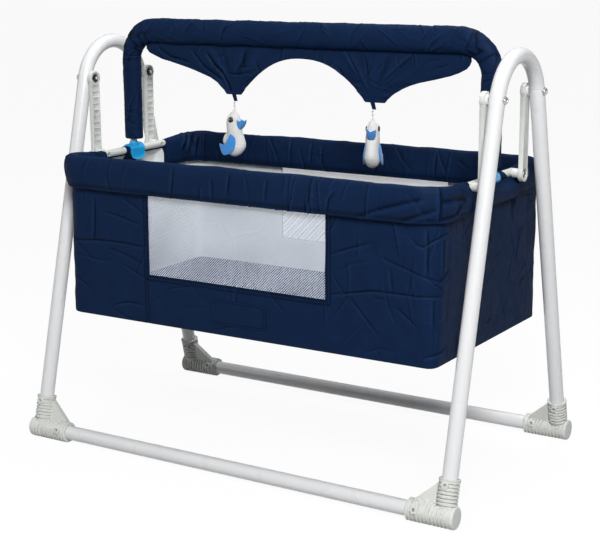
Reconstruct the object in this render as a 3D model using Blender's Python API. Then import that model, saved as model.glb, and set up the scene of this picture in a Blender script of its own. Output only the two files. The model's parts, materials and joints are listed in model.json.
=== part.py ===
"""Baby swing cradle: a fabric basket that hangs on four links between two tube end frames.

Axes: +X runs along the cradle to its right end, -Y is its front, +Z is up. The origin is on the
floor below the middle of the cradle. Lengths are in metres.
"""
import math

import bmesh
import bpy
from mathutils import Matrix, Vector

# Clearances
FIT = 0.0003
RUNNING_FIT = 0.0004
CUT_OVERRUN = 0.004

# Stand
TUBE_OD = 0.032
TUBE_WALL = 0.0012
STAND_HEIGHT = 0.902
FOOT_TRACK = 0.594
FRAME_SPAN = 1.024
BEND_RADIUS = 0.104
LEG_SEAT = 0.030

# Corner connectors
BARREL_RADIUS = 0.023
BARREL_INBOARD = 0.079
BARREL_OUTBOARD = 0.031
BARREL_CAP_LENGTH = 0.013
BARREL_GROOVE_DEPTH = 0.0016
BARREL_RIBS = 9
FOOT_FLAT_DEPTH = 0.001
FLOOR_TUBE_INSERTION = 0.055
LEG_SOCKET_RADIUS = 0.0212
LEG_SOCKET_LENGTH = 0.078
LEG_SOCKET_PLAIN_LENGTH = 0.022
LEG_SOCKET_RIBS = 6
WEB_THICKNESS = 0.012
WEB_TOP_CLEARANCE = 0.003

# Connector screws
SCREW_HEAD_RADIUS = 0.0028
SCREW_HEAD_HEIGHT = 0.0018
SCREW_SHANK_RADIUS = 0.0016
SCREW_LENGTH = 0.011
SCREW_SINK = 0.0012
LEG_SCREW_HEIGHT = 0.062
FLOOR_SCREW_INBOARD = 0.0585
FLOOR_SCREW_LIFT_DEG = 20.0

# Swing links and their bolts
LINK_LENGTH = 0.172
LINK_RING_RADIUS = 0.0165
LINK_WIDTH = 0.026
LINK_THICKNESS = 0.010
LINK_TO_LEG = 0.005
LINK_BOSS_RADIUS = 0.0105
LINK_CELLS = 10
LINK_CELL_DEPTH = 0.0068
LINK_FLANGE = 0.0026
LINK_RIB = 0.0018
LINK_RECESS_RADIUS = 0.0115
LINK_RECESS_DEPTH = 0.0040
BOLT_RADIUS = 0.0040
BOLT_HEAD_RADIUS = 0.0075
BOLT_HEAD_HEIGHT = 0.0048
BOLT_TAIL = 0.0020
NUT_WIDTH = 0.0125
NUT_THICKNESS = 0.0058
LOWER_HEAD_RADIUS = 0.0082
LOWER_HEAD_HEIGHT = 0.0034

# Basket frame
LOWER_BOSS_LENGTH = 0.01635
HANGER_OD = 0.0165
HANGER_WALL = 0.0011
HANGER_END_LENGTH = 0.0131
RAIL_SET_IN = 0.003
RAIL_CORNER_RADIUS = 0.050
RAIL_WALL = 0.0011
RAIL_PLUG_LENGTH = 0.056
RAIL_BOLT_REACH = 0.0030
ACCESS_HOLE_RADIUS = 0.0030

# Cover panels, windows, board and mattress
COVER_SET_IN = 0.006
COVER_WIDTH = 0.486
BASKET_DEPTH = 0.3432
COVER_THICKNESS = 0.004
COVER_CORNER_TOP = 0.050
COVER_CORNER_BOTTOM = 0.022
COVER_JOIN_FROM_CORNER = 0.055
BOTTOM_CLOTH = 0.003
BOARD_THICKNESS = 0.006
MATTRESS_THICKNESS = 0.034
MATTRESS_CROWN = 0.006
MATTRESS_GAP = 0.003
MATTRESS_CORNER = 0.022
MATTRESS_EDGE = 0.012
MATTRESS_PULL = 0.005
WINDOW_LENGTH = 0.444
WINDOW_SHIFTS = {"front": -0.0105, "back": 0.0275}
WINDOW_SILL = 0.112
NET_THICKNESS = 0.0016
NET_STRAND = 0.0045
NET_COLUMNS = 8
NET_ROWS = 4
END_PANEL_ROLL_GAP = 0.003
END_PANEL_BAR_GAP = 0.005
END_TAB_WIDTH = 0.044

# Padded rim rolls
ROLL_ABOVE_RAIL = 0.0168
ROLL_BELOW_RAIL = 0.0552
ROLL_THICKNESS = 0.036
ROLL_PUFF = 0.0030
ROLL_RAIL_FIT = 0.0008
ROLL_MOUTH_TAPER = 0.030

# Toy arch, clamps and pelmet
CLAMP_LENGTH = 0.064
CLAMP_WALL = 0.0038
CLAMP_WRAP_DEG = 236.0
CLAMP_LIP_DROP = 0.026
CLAMP_LIP_FLARE = 0.0024
CLAMP_LIP_WALL = 0.0030
COLLAR_RADIUS = 0.0092
COLLAR_HEIGHT = 0.0050
SPIGOT_HEIGHT = 0.034
ARCH_TUBE_OD = 0.016
ARCH_TUBE_WALL = 0.0010
ARCH_RISE = 0.2768
ARCH_BEND_RADIUS = 0.068
SLEEVE_LEG_WIDTH = 0.048
SLEEVE_TOP_WIDTH = 0.057
SLEEVE_DEPTH = 0.036
SLEEVE_LIFT = 0.0075
SLEEVE_TUBE_FIT = 0.0008
PELMET_SET_IN = 0.046
PELMET_CLOTH = 0.0022
PELMET_FOLD = 0.0045
PELMET_FOLDS = 1.6
PELMET_FOLD_SLANT = 0.55
PELMET_FOLD_FADE = 1.2
DROP_X = 0.176
DROP_SHIFT = 0.009           # both drops lie this far right of evenly spaced
DROP_FLAT = 0.036
DROP_DEPTH = 0.1065
CROWN_DEPTH = 0.0215
END_DEPTH = 0.012
STRAP_WIDTH = 0.010
STRAP_LENGTH = 0.0135

# Plush birds
STRING_RADIUS = 0.0015
STRING_LENGTH = 0.0195
BIRD_HEAD_RADIUS = 0.0205
BIRD_BODY_LENGTH = 0.060
BIRD_BODY_WIDTH = 0.042
BIRD_BODY_HEIGHT = 0.068
BIRD_NECK_OVERLAP = 0.0060
BEAK_LENGTH = 0.030
BEAK_WIDTH = 0.015
BEAK_HEIGHT = 0.011
WING_LENGTH = 0.050
WING_SPREAD = 0.054
WING_HEIGHT = 0.042
WING_SETBACK = 0.013
BIRD_TURNS_DEG = {"left": 0.0, "right": -78.0}

# Outlines given as shares of the sizes above
ROLL_SECTION_SHARES = ((0.0, 1.0), (0.56, 0.92), (0.94, 0.62), (1.0, 0.26), (0.84, 0.0))
MATTRESS_SIDE_SHARES = ((1.0, 0.0, 1.0), (0.0, 0.30, 1.0), (0.0, 0.70, 1.0), (0.35, 0.93, 1.0), (1.0, 1.0, 0.6))
MATTRESS_CROWN_START_SHARE = 0.28
MATTRESS_LEAST_CORNER_SHARE = 0.25
SCREW_DOME_SHARE = 0.7
UPPER_HEAD_DOME_SHARE = 0.45
LOWER_HEAD_DOME_SHARE = 0.55
CLAMP_LIP_BEND_SHARE = 0.72
STRING_TOP_SHARES = ((0.7, 0.7), (1.0, 0.2))
WING_HEIGHT_ON_BODY_SHARE = 0.42
BIRD_BODY_WIDTH_SHARES = ((0.0, 0.0), (0.06, 0.52), (0.22, 0.90), (0.42, 1.0), (0.62, 0.86), (0.80, 0.62),
                          (0.93, 0.46), (1.0, 0.0))
PELMET_OUTER_SHARES = ((0.0, 0.0), (0.05, 0.13), (0.2, 0.28), (0.4, 0.395), (0.6, 0.51), (0.75, 0.63),
                       (0.85, 0.76), (0.93, 0.90), (1.0, 1.0))

# Facets
TUBE_SIDES = 16
SMALL_SIDES = 12
SCREW_SIDES = 8
SLEEVE_SIDES = 12
CONNECTOR_SIDES = 12
RAIL_SIDES = 8
BEND_STEPS = 8
CORNER_STEPS = 4

# Places worked out from the sizes above
FRAME_X = FRAME_SPAN / 2
FOOT_Y = FOOT_TRACK / 2
FLOOR_TUBE_Z = BARREL_RADIUS - FOOT_FLAT_DEPTH
BEND_CENTRE_Z = STAND_HEIGHT - TUBE_OD / 2 - BEND_RADIUS
FOOT_TO_BEND = math.hypot(FOOT_Y, BEND_CENTRE_Z - FLOOR_TUBE_Z)
LEG_SPLAY = math.atan2(FOOT_Y, BEND_CENTRE_Z - FLOOR_TUBE_Z) - math.asin(BEND_RADIUS / FOOT_TO_BEND)
PIVOT_Y = BEND_RADIUS * math.cos(LEG_SPLAY)
PIVOT_Z = BEND_CENTRE_Z + BEND_RADIUS * math.sin(LEG_SPLAY)
LEG_INNER_X = FRAME_X - TUBE_OD / 2
LINK_OUTER_X = LEG_INNER_X - LINK_TO_LEG
LINK_INNER_X = LINK_OUTER_X - LINK_THICKNESS
HANGER_X = LINK_INNER_X - LOWER_BOSS_LENGTH - RUNNING_FIT - HANGER_OD / 2
HANGER_Z = PIVOT_Z - LINK_LENGTH
HANGER_LENGTH = 2 * (PIVOT_Y + HANGER_END_LENGTH)
HANGER_BORE_RADIUS = HANGER_OD / 2 - HANGER_WALL
RAIL_RADIUS = HANGER_BORE_RADIUS - FIT
RAIL_Y = COVER_WIDTH / 2 - RAIL_SET_IN
COVER_LENGTH = 2 * (HANGER_X - COVER_SET_IN)
COVER_BOTTOM = HANGER_Z - BASKET_DEPTH
COVER_JOIN_Y = COVER_WIDTH / 2 - COVER_JOIN_FROM_CORNER
WINDOW_BOTTOM = COVER_BOTTOM + WINDOW_SILL
ROLL_TOP = HANGER_Z + ROLL_ABOVE_RAIL
ROLL_BOTTOM = HANGER_Z - ROLL_BELOW_RAIL
ROLL_MOUTH_Y = HANGER_LENGTH / 2 + FIT
PANEL_TOP = ROLL_BOTTOM - FIT
END_PANEL_RISE_WIDTH = HANGER_LENGTH - 2 * END_PANEL_ROLL_GAP
ARCH_TOP_AXIS = HANGER_Z + ARCH_RISE
ARCH_FOOT_Z = HANGER_Z + HANGER_OD / 2 + FIT + CLAMP_WALL + COLLAR_HEIGHT + FIT
SLEEVE_BOTTOM_Z = ARCH_FOOT_Z + SLEEVE_LIFT
PELMET_LENGTH = 2 * (HANGER_X - PELMET_SET_IN)
PELMET_TOP_Z = ARCH_TOP_AXIS - SLEEVE_TOP_WIDTH / 2 - FIT
DROP_Z = PELMET_TOP_Z - DROP_DEPTH
TOY_PIVOT_Z = DROP_Z - STRAP_LENGTH - FIT - STRING_RADIUS

SIDES = {"left": -1, "right": 1}
ENDS = {"front": -1, "back": 1}


def clear_scene():
    """Remove every object, so that the script can run again in an open file."""
    for obj in list(bpy.data.objects):
        bpy.data.objects.remove(obj, do_unlink=True)


def make_material(name, colour, roughness, metallic=0.0):
    """Make one plain finish."""
    finish = bpy.data.materials.new(name)
    finish.use_nodes = True
    shader = finish.node_tree.nodes["Principled BSDF"]
    shader.inputs["Base Color"].default_value = (*colour, 1.0)
    shader.inputs["Roughness"].default_value = roughness
    shader.inputs["Metallic"].default_value = metallic
    finish.diffuse_color = (*colour, 1.0)
    return finish


def add_piece(name, bm, finish, origin=(0.0, 0.0, 0.0), smooth_deg=40.0):
    """Turn a mesh drawn in world places into a named object whose origin is at the given point."""
    bmesh.ops.recalc_face_normals(bm, faces=bm.faces)
    bmesh.ops.translate(bm, verts=bm.verts, vec=-Vector(origin))
    mesh = bpy.data.meshes.new(name)
    bm.to_mesh(mesh)
    bm.free()
    mesh.shade_smooth()
    mesh.set_sharp_from_angle(angle=math.radians(smooth_deg))
    mesh.materials.append(finish)
    obj = bpy.data.objects.new(name, mesh)
    obj.location = origin
    bpy.context.collection.objects.link(obj)
    return obj


def add_tool(name, bm):
    """Turn a mesh drawn in world places into a hidden cutter."""
    bmesh.ops.recalc_face_normals(bm, faces=bm.faces)
    mesh = bpy.data.meshes.new(name)
    bm.to_mesh(mesh)
    bm.free()
    tool = bpy.data.objects.new(name, mesh)
    tool.hide_render = True
    tool.display_type = "WIRE"
    bpy.context.collection.objects.link(tool)
    return tool


def combine(obj, tool, operation="DIFFERENCE"):
    """Cut a piece with a tool, or join the tool to it."""
    step = obj.modifiers.new(tool.name, "BOOLEAN")
    step.operation = operation
    step.solver = "EXACT"
    step.object = tool


def circle_section(radius, sides):
    """Give the corners of a round section, with flats square to its axes."""
    turn = 2 * math.pi / sides
    return [(radius * math.cos(turn * (k + 0.5)), radius * math.sin(turn * (k + 0.5))) for k in range(sides)]


def oval_section(width, height, sides):
    """Give the corners of an oval section."""
    turn = 2 * math.pi / sides
    return [(width / 2 * math.cos(turn * k), height / 2 * math.sin(turn * k)) for k in range(sides)]


def skin(bm, rings, closed=False):
    """Join a row of rings of points with four-sided faces."""
    rows = [[bm.verts.new(point) for point in ring] for ring in rings]
    pairs = list(zip(rows, rows[1:]))
    if closed:
        pairs.append((rows[-1], rows[0]))
    for first, second in pairs:
        count = len(first)
        for k in range(count):
            bm.faces.new((first[k], first[(k + 1) % count], second[(k + 1) % count], second[k]))
    return rows


def swept_rings(points, normal, sections):
    """Place a section at each point of a flat path: its width lies in the path's plane."""
    normal = Vector(normal)
    rings = []
    for index, point in enumerate(points):
        steps = []
        if index > 0:
            steps.append((points[index] - points[index - 1]).normalized())
        if index < len(points) - 1:
            steps.append((points[index + 1] - points[index]).normalized())
        tangent = sum(steps, Vector()).normalized()
        across = normal.cross(tangent)
        rings.append([point + across * u + normal * v for u, v in sections[index]])
    return rings


def add_swept_tube(bm, points, normal, outer_sections, inner_sections):
    """Sweep a hollow bar along a flat path, open at both ends."""
    outer = skin(bm, swept_rings(points, normal, outer_sections))
    inner = skin(bm, swept_rings(points, normal, inner_sections))
    for outer_row, inner_row in ((outer[0], inner[0]), (outer[-1], inner[-1])):
        count = len(outer_row)
        for k in range(count):
            after = (k + 1) % count
            bm.faces.new((outer_row[k], outer_row[after], inner_row[after], inner_row[k]))


def add_round_tube(bm, points, normal, outer_radius, inner_radius, sides):
    """Sweep a round pipe along a flat path."""
    outer = [circle_section(outer_radius, sides)] * len(points)
    inner = [circle_section(inner_radius, sides)] * len(points)
    add_swept_tube(bm, points, normal, outer, inner)


def turned_rings(profile, start, axis, sides):
    """Give the rings of a turned shape from its (distance, radius) profile along an axis."""
    axis = Vector(axis).normalized()
    basis = axis.to_track_quat("Z", "Y").to_matrix()
    rings = []
    for along, radius in profile:
        centre = Vector(start) + axis * along
        rings.append([centre + basis @ Vector((u, v, 0.0)) for u, v in circle_section(radius, sides)])
    return rings


def add_turned(bm, profile, start, axis, sides):
    """Turn a solid shape, closed by flat faces at both ends of its profile."""
    rows = skin(bm, turned_rings(profile, start, axis, sides))
    bm.faces.new(rows[0])
    bm.faces.new(rows[-1])


def add_prism(bm, outline, place, first, second, third, low, high):
    """Extrude an outline given along two directions between two heights along a third."""
    place, first, second, third = (Vector(item) for item in (place, first, second, third))
    rings = [[place + first * u + second * v + third * height for u, v in outline] for height in (low, high)]
    rows = skin(bm, rings)
    bm.faces.new(rows[0])
    bm.faces.new(rows[-1])


def add_box(bm, low, high):
    """Add a box between two corners."""
    outline = ((low[0], low[1]), (high[0], low[1]), (high[0], high[1]), (low[0], high[1]))
    add_prism(bm, outline, (0, 0, 0), (1, 0, 0), (0, 1, 0), (0, 0, 1), low[2], high[2])


def rounded_rectangle(length, width, radius, steps):
    """Give the outline of a rectangle with round corners."""
    points = []
    for corner, (sign_x, sign_y) in enumerate(((1, 1), (-1, 1), (-1, -1), (1, -1))):
        for k in range(steps + 1):
            angle = math.pi / 2 * (corner + k / steps)
            x = sign_x * (length / 2 - radius) + radius * math.cos(angle)
            y = sign_y * (width / 2 - radius) + radius * math.sin(angle)
            points.append((x, y))
    return points


def bend_path(corner, start, end, radius, steps):
    """Round the corner between two straight runs of a path."""
    corner, start, end = Vector(corner), Vector(start), Vector(end)
    toward_start = (start - corner).normalized()
    toward_end = (end - corner).normalized()
    half = toward_start.angle(toward_end) / 2
    middle = (toward_start + toward_end).normalized()
    centre = corner + middle * (radius / math.sin(half))
    first = corner + toward_start * (radius / math.tan(half)) - centre
    last = corner + toward_end * (radius / math.tan(half)) - centre
    sweep = first.angle(last)
    axis = first.cross(last).normalized()
    return [centre + Matrix.Rotation(sweep * k / steps, 3, axis) @ first for k in range(steps + 1)]


def share_curve(shares, position):
    """Read a value off a table of shares, with straight steps between its points."""
    for (x0, y0), (x1, y1) in zip(shares, shares[1:]):
        if position <= x1:
            return y0 + (y1 - y0) * (position - x0) / (x1 - x0)
    return shares[-1][1]


def add_ellipsoid(bm, centre, half_sizes, sides, rows, turn_deg=0.0):
    """Add a closed egg with the given half sizes, turned about the upright axis."""
    turn = Matrix.Rotation(math.radians(turn_deg), 3, "Z")
    rings = []
    for row in range(1, rows):
        angle = math.pi * row / rows
        ring = []
        for k in range(sides):
            around = 2 * math.pi * k / sides
            local = Vector((half_sizes[0] * math.sin(angle) * math.cos(around),
                            half_sizes[1] * math.sin(angle) * math.sin(around),
                            half_sizes[2] * math.cos(angle)))
            ring.append(Vector(centre) + turn @ local)
        rings.append(ring)
    add_poled_skin(bm, rings, Vector(centre) + Vector((0, 0, half_sizes[2])),
                   Vector(centre) - Vector((0, 0, half_sizes[2])))


def add_poled_skin(bm, rings, first_pole, last_pole):
    """Close a row of rings with a fan of triangles at each end."""
    rows = skin(bm, rings)
    for row, pole in ((rows[0], first_pole), (rows[-1], last_pole)):
        tip = bm.verts.new(pole)
        for k in range(len(row)):
            bm.faces.new((row[k], row[(k + 1) % len(row)], tip))


def foot_point(side, end):
    """Give the point where a leg's axis meets a floor tube's axis."""
    return Vector((SIDES[side] * FRAME_X, ENDS[end] * FOOT_Y, FLOOR_TUBE_Z))


def leg_direction(end):
    """Give the upward direction of a leg."""
    return Vector((0.0, -ENDS[end] * math.sin(LEG_SPLAY), math.cos(LEG_SPLAY)))


def pivot_point(side, end, x=0.0):
    """Give a point on an upper pivot's axis, at a distance from the middle of the cradle."""
    return Vector((SIDES[side] * x, ENDS[end] * PIVOT_Y, PIVOT_Z))


def lower_pivot_point(side, end, x=0.0):
    """Give a point on a lower pivot's axis."""
    return Vector((SIDES[side] * x, ENDS[end] * PIVOT_Y, HANGER_Z))


def leg_screw_place(side, end):
    """Give the point on the leg's axis behind its screw, and the way that the screw faces."""
    across = Vector((0.0, -math.cos(LEG_SPLAY), -ENDS[end] * math.sin(LEG_SPLAY)))
    return foot_point(side, end) + leg_direction(end) * LEG_SCREW_HEIGHT, across


def floor_screw_place(side, end):
    """Give the point on the floor tube's axis behind its screw, and the way that the screw faces."""
    lift = math.radians(FLOOR_SCREW_LIFT_DEG)
    place = foot_point(side, end) - Vector((SIDES[side] * FLOOR_SCREW_INBOARD, 0.0, 0.0))
    return place, Vector((0.0, -math.cos(lift), math.sin(lift)))


def build_end_frame(side, finish):
    """Bend one end frame and drill it for its bolts and screws."""
    x = SIDES[side] * FRAME_X
    arc = []
    for k in range(BEND_STEPS + 1):
        angle = LEG_SPLAY + (math.pi - 2 * LEG_SPLAY) * k / BEND_STEPS
        arc.append(Vector((x, BEND_RADIUS * math.cos(angle), BEND_CENTRE_Z + BEND_RADIUS * math.sin(angle))))
    back = foot_point(side, "back") + leg_direction("back") * LEG_SEAT
    front = foot_point(side, "front") + leg_direction("front") * LEG_SEAT
    bm = bmesh.new()
    add_round_tube(bm, [back, *arc, front], (1, 0, 0), TUBE_OD / 2, TUBE_OD / 2 - TUBE_WALL, TUBE_SIDES)
    frame = add_piece(f"end_frame_{side}", bm, finish, origin=(x, 0.0, 0.0))
    drill = bmesh.new()
    for end in ENDS:
        start = pivot_point(side, end, LEG_INNER_X - CUT_OVERRUN)
        length = TUBE_OD + 2 * CUT_OVERRUN
        add_turned(drill, ((0.0, BOLT_RADIUS + FIT), (length, BOLT_RADIUS + FIT)), start,
                   (SIDES[side], 0, 0), SMALL_SIDES)
        add_screw_hole(drill, *leg_screw_place(side, end))
    combine(frame, add_tool(f"cut_end_frame_{side}", drill))


def add_screw_hole(bm, place, facing):
    """Add the drill for a connector screw through one wall of a tube."""
    add_turned(bm, ((0.0, SCREW_SHANK_RADIUS + FIT), (TUBE_OD / 2 + CUT_OVERRUN, SCREW_SHANK_RADIUS + FIT)),
               place, facing, SCREW_SIDES)


def build_floor_tube(end, finish):
    """Make one floor tube between the connectors of the two end frames."""
    half = FRAME_X - BARREL_INBOARD + FLOOR_TUBE_INSERTION
    points = [Vector((x, ENDS[end] * FOOT_Y, FLOOR_TUBE_Z)) for x in (-half, half)]
    bm = bmesh.new()
    add_round_tube(bm, points, (0, 0, 1), TUBE_OD / 2, TUBE_OD / 2 - TUBE_WALL, TUBE_SIDES)
    tube = add_piece(f"floor_tube_{end}", bm, finish, origin=(0.0, ENDS[end] * FOOT_Y, FLOOR_TUBE_Z))
    drill = bmesh.new()
    for side in SIDES:
        add_screw_hole(drill, *floor_screw_place(side, end))
    combine(tube, add_tool(f"cut_floor_tube_{end}", drill))


def barrel_profile():
    """Give the ribbed profile of the floor tube socket, from its inboard end to its smooth cap."""
    length = BARREL_INBOARD + BARREL_OUTBOARD
    pitch = (length - BARREL_CAP_LENGTH) / BARREL_RIBS
    profile = []
    for k in range(BARREL_RIBS):
        profile.append((pitch * k, BARREL_RADIUS))
        profile.append((pitch * (k + 0.5), BARREL_RADIUS - BARREL_GROOVE_DEPTH))
    profile.append((length - BARREL_CAP_LENGTH, BARREL_RADIUS))
    profile.append((length, BARREL_RADIUS))
    return profile


def leg_socket_profile():
    """Give the ribbed profile of the leg socket, from inside the floor tube socket to its top."""
    pitch = (LEG_SOCKET_LENGTH - LEG_SOCKET_PLAIN_LENGTH) / LEG_SOCKET_RIBS
    profile = [(0.0, LEG_SOCKET_RADIUS - BARREL_GROOVE_DEPTH)]
    for k in range(LEG_SOCKET_RIBS):
        base = LEG_SOCKET_PLAIN_LENGTH + pitch * k
        profile.append((base, LEG_SOCKET_RADIUS - BARREL_GROOVE_DEPTH))
        profile.append((base + pitch / 2, LEG_SOCKET_RADIUS))
    profile.append((LEG_SOCKET_LENGTH, LEG_SOCKET_RADIUS - BARREL_GROOVE_DEPTH))
    return profile


def build_connector(side, end, finish):
    """Mould one corner connector: two sockets at a right angle with a web between them."""
    foot = foot_point(side, end)
    upward = leg_direction(end)
    inboard = Vector((-SIDES[side], 0.0, 0.0))
    across = inboard.cross(upward)
    bm = bmesh.new()
    add_turned(bm, barrel_profile(), foot + inboard * BARREL_INBOARD, -inboard, CONNECTOR_SIDES)
    connector = add_piece(f"connector_{end}_{side}", bm, finish, origin=foot)

    socket = bmesh.new()
    add_turned(socket, leg_socket_profile(), foot, upward, CONNECTOR_SIDES)
    combine(connector, add_tool(f"join_leg_socket_{end}_{side}", socket), "UNION")

    inset = BARREL_GROOVE_DEPTH + WEB_TOP_CLEARANCE
    reach = BARREL_INBOARD - inset
    outline = ((0.0, TUBE_OD / 4), (reach, TUBE_OD / 4), (reach, BARREL_RADIUS - inset),
               (LEG_SOCKET_RADIUS - inset, LEG_SOCKET_LENGTH - WEB_TOP_CLEARANCE),
               (0.0, LEG_SOCKET_LENGTH - WEB_TOP_CLEARANCE))
    web = bmesh.new()
    add_prism(web, outline, foot, inboard, upward, across, -WEB_THICKNESS / 2, WEB_THICKNESS / 2)
    combine(connector, add_tool(f"join_web_{end}_{side}", web), "UNION")

    bore_radius = TUBE_OD / 2 + FIT
    bores = bmesh.new()
    add_turned(bores, ((0.0, bore_radius), (FLOOR_TUBE_INSERTION + FIT + CUT_OVERRUN, bore_radius)),
               foot + inboard * (BARREL_INBOARD + CUT_OVERRUN), -inboard, TUBE_SIDES)
    add_turned(bores, ((LEG_SEAT - FIT, bore_radius), (LEG_SOCKET_LENGTH + CUT_OVERRUN, bore_radius)),
               foot, upward, TUBE_SIDES)
    low = Vector((-FRAME_X - BARREL_INBOARD, -FOOT_TRACK, -BARREL_RADIUS))
    high = Vector((FRAME_X + BARREL_INBOARD, FOOT_TRACK, 0.0))
    add_box(bores, low, high)
    combine(connector, add_tool(f"cut_bores_{end}_{side}", bores))

    holes = bmesh.new()
    for place, facing, wall in ((*leg_screw_place(side, end), LEG_SOCKET_RADIUS),
                                (*floor_screw_place(side, end), BARREL_RADIUS)):
        seat = wall - BARREL_GROOVE_DEPTH - SCREW_SINK - SCREW_HEAD_HEIGHT
        top = wall + CUT_OVERRUN
        add_turned(holes, ((TUBE_OD / 4, SCREW_SHANK_RADIUS + FIT), (seat, SCREW_SHANK_RADIUS + FIT),
                           (seat, SCREW_HEAD_RADIUS + FIT), (top, SCREW_HEAD_RADIUS + FIT)),
                   place, facing, SCREW_SIDES)
    combine(connector, add_tool(f"cut_screw_holes_{end}_{side}", holes))


def build_screw(name, place, facing, wall, finish):
    """Make one pan-head tapping screw, seated in its counterbore."""
    head_base = wall - BARREL_GROOVE_DEPTH - SCREW_SINK - SCREW_HEAD_HEIGHT + FIT
    head_top = head_base + SCREW_HEAD_HEIGHT
    tip = head_base - SCREW_LENGTH
    profile = ((tip, SCREW_SHANK_RADIUS / 2), (head_base, SCREW_SHANK_RADIUS), (head_base, SCREW_HEAD_RADIUS),
               (head_top, SCREW_HEAD_RADIUS * SCREW_DOME_SHARE))
    bm = bmesh.new()
    add_turned(bm, profile, place, facing, SCREW_SIDES)
    add_piece(name, bm, finish, origin=place)


def build_upper_bolt(side, end, finish):
    """Make one upper pivot bolt, its domed head outside the leg."""
    head_x = FRAME_X + TUBE_OD / 2 + FIT
    tail_x = LINK_INNER_X + LINK_RECESS_DEPTH - FIT - NUT_THICKNESS - BOLT_TAIL
    length = head_x - tail_x
    profile = ((0.0, BOLT_RADIUS), (length, BOLT_RADIUS), (length, BOLT_HEAD_RADIUS),
               (length + BOLT_HEAD_HEIGHT / 3, BOLT_HEAD_RADIUS),
               (length + BOLT_HEAD_HEIGHT, BOLT_HEAD_RADIUS * UPPER_HEAD_DOME_SHARE))
    bm = bmesh.new()
    add_turned(bm, profile, pivot_point(side, end, tail_x), (SIDES[side], 0, 0), SMALL_SIDES)
    add_piece(f"upper_pivot_bolt_{end}_{side}", bm, finish, origin=pivot_point(side, end, LINK_INNER_X))


def build_nut(side, end, finish):
    """Make one square nut in the recess on the inner face of a link."""
    far_x = LINK_INNER_X + LINK_RECESS_DEPTH - FIT
    near_x = far_x - NUT_THICKNESS
    half = NUT_WIDTH / 2
    outer = [(half, -half), (half, 0.0), (half, half), (0.0, half), (-half, half), (-half, 0.0), (-half, -half),
             (0.0, -half)]
    turn = 2 * math.pi / len(outer)
    bore = BOLT_RADIUS + FIT
    inner = [(bore * math.cos(turn * (k - 1)), bore * math.sin(turn * (k - 1))) for k in range(len(outer))]
    rings = []
    for x, outline in ((near_x, inner), (near_x, outer), (far_x, outer), (far_x, inner)):
        centre = pivot_point(side, end, x)
        rings.append([centre + Vector((0.0, u, v)) for u, v in outline])
    bm = bmesh.new()
    skin(bm, rings, closed=True)
    add_piece(f"pivot_nut_{end}_{side}", bm, finish, origin=pivot_point(side, end, near_x))


def link_outline():
    """Give the side outline of a link: two rings with a narrower bar between, from the upper pivot."""
    half_width = LINK_WIDTH / 2
    spread = math.asin(half_width / LINK_RING_RADIUS)
    steps = 7
    outline = []
    for centre, first in ((0.0, -math.pi / 2 + spread), (-LINK_LENGTH, math.pi / 2 + spread)):
        for k in range(steps + 1):
            angle = first + (2 * math.pi - 2 * spread) * k / steps
            outline.append((LINK_RING_RADIUS * math.cos(angle), centre + LINK_RING_RADIUS * math.sin(angle)))
    return outline


def build_link(side, end, finish):
    """Mould one swing link: two rings, a channel with cross ribs on its inner face, and two bosses."""
    outward = Vector((SIDES[side], 0.0, 0.0))
    pivot = pivot_point(side, end)
    lower = lower_pivot_point(side, end)
    across, upward = Vector((0, 1, 0)), Vector((0, 0, 1))
    bm = bmesh.new()
    add_prism(bm, link_outline(), pivot, across, upward, outward, LINK_INNER_X, LINK_OUTER_X)
    link = add_piece(f"swing_link_{end}_{side}", bm, finish, origin=pivot_point(side, end, LINK_OUTER_X))

    bosses = bmesh.new()
    add_turned(bosses, ((LINK_OUTER_X - LINK_THICKNESS / 4, LINK_BOSS_RADIUS),
                        (LEG_INNER_X - RUNNING_FIT, LINK_BOSS_RADIUS)), pivot, outward, SMALL_SIDES)
    add_turned(bosses, ((HANGER_X + HANGER_OD / 2 + RUNNING_FIT, LINK_BOSS_RADIUS),
                        (LINK_INNER_X + LINK_THICKNESS / 4, LINK_BOSS_RADIUS)), lower, outward, SMALL_SIDES)
    combine(link, add_tool(f"join_bosses_{end}_{side}", bosses), "UNION")

    holes = bmesh.new()
    for centre in (pivot, lower):
        add_turned(holes, ((HANGER_X, BOLT_RADIUS + FIT), (FRAME_X, BOLT_RADIUS + FIT)),
                   centre, outward, SMALL_SIDES)
    combine(link, add_tool(f"cut_bores_{end}_{side}_link", holes))

    pockets = bmesh.new()
    add_turned(pockets, ((LINK_INNER_X - CUT_OVERRUN, LINK_RECESS_RADIUS),
                         (LINK_INNER_X + LINK_RECESS_DEPTH, LINK_RECESS_RADIUS)), pivot, outward, SMALL_SIDES)
    add_turned(pockets, ((LINK_OUTER_X - LINK_RECESS_DEPTH, LINK_RECESS_RADIUS),
                         (LINK_OUTER_X + CUT_OVERRUN, LINK_RECESS_RADIUS)), lower, outward, SMALL_SIDES)
    run = LINK_LENGTH - 2 * LINK_RING_RADIUS
    cell = (run - LINK_RIB * (LINK_CELLS - 1)) / LINK_CELLS
    half = LINK_WIDTH / 2 - LINK_FLANGE
    for k in range(LINK_CELLS):
        top = -LINK_RING_RADIUS - k * (cell + LINK_RIB)
        outline = ((-half, top - cell), (half, top - cell), (half, top), (-half, top))
        add_prism(pockets, outline, pivot, across, upward, outward, LINK_INNER_X - CUT_OVERRUN,
                  LINK_INNER_X + LINK_CELL_DEPTH)
    combine(link, add_tool(f"cut_pockets_{end}_{side}", pockets))


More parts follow.
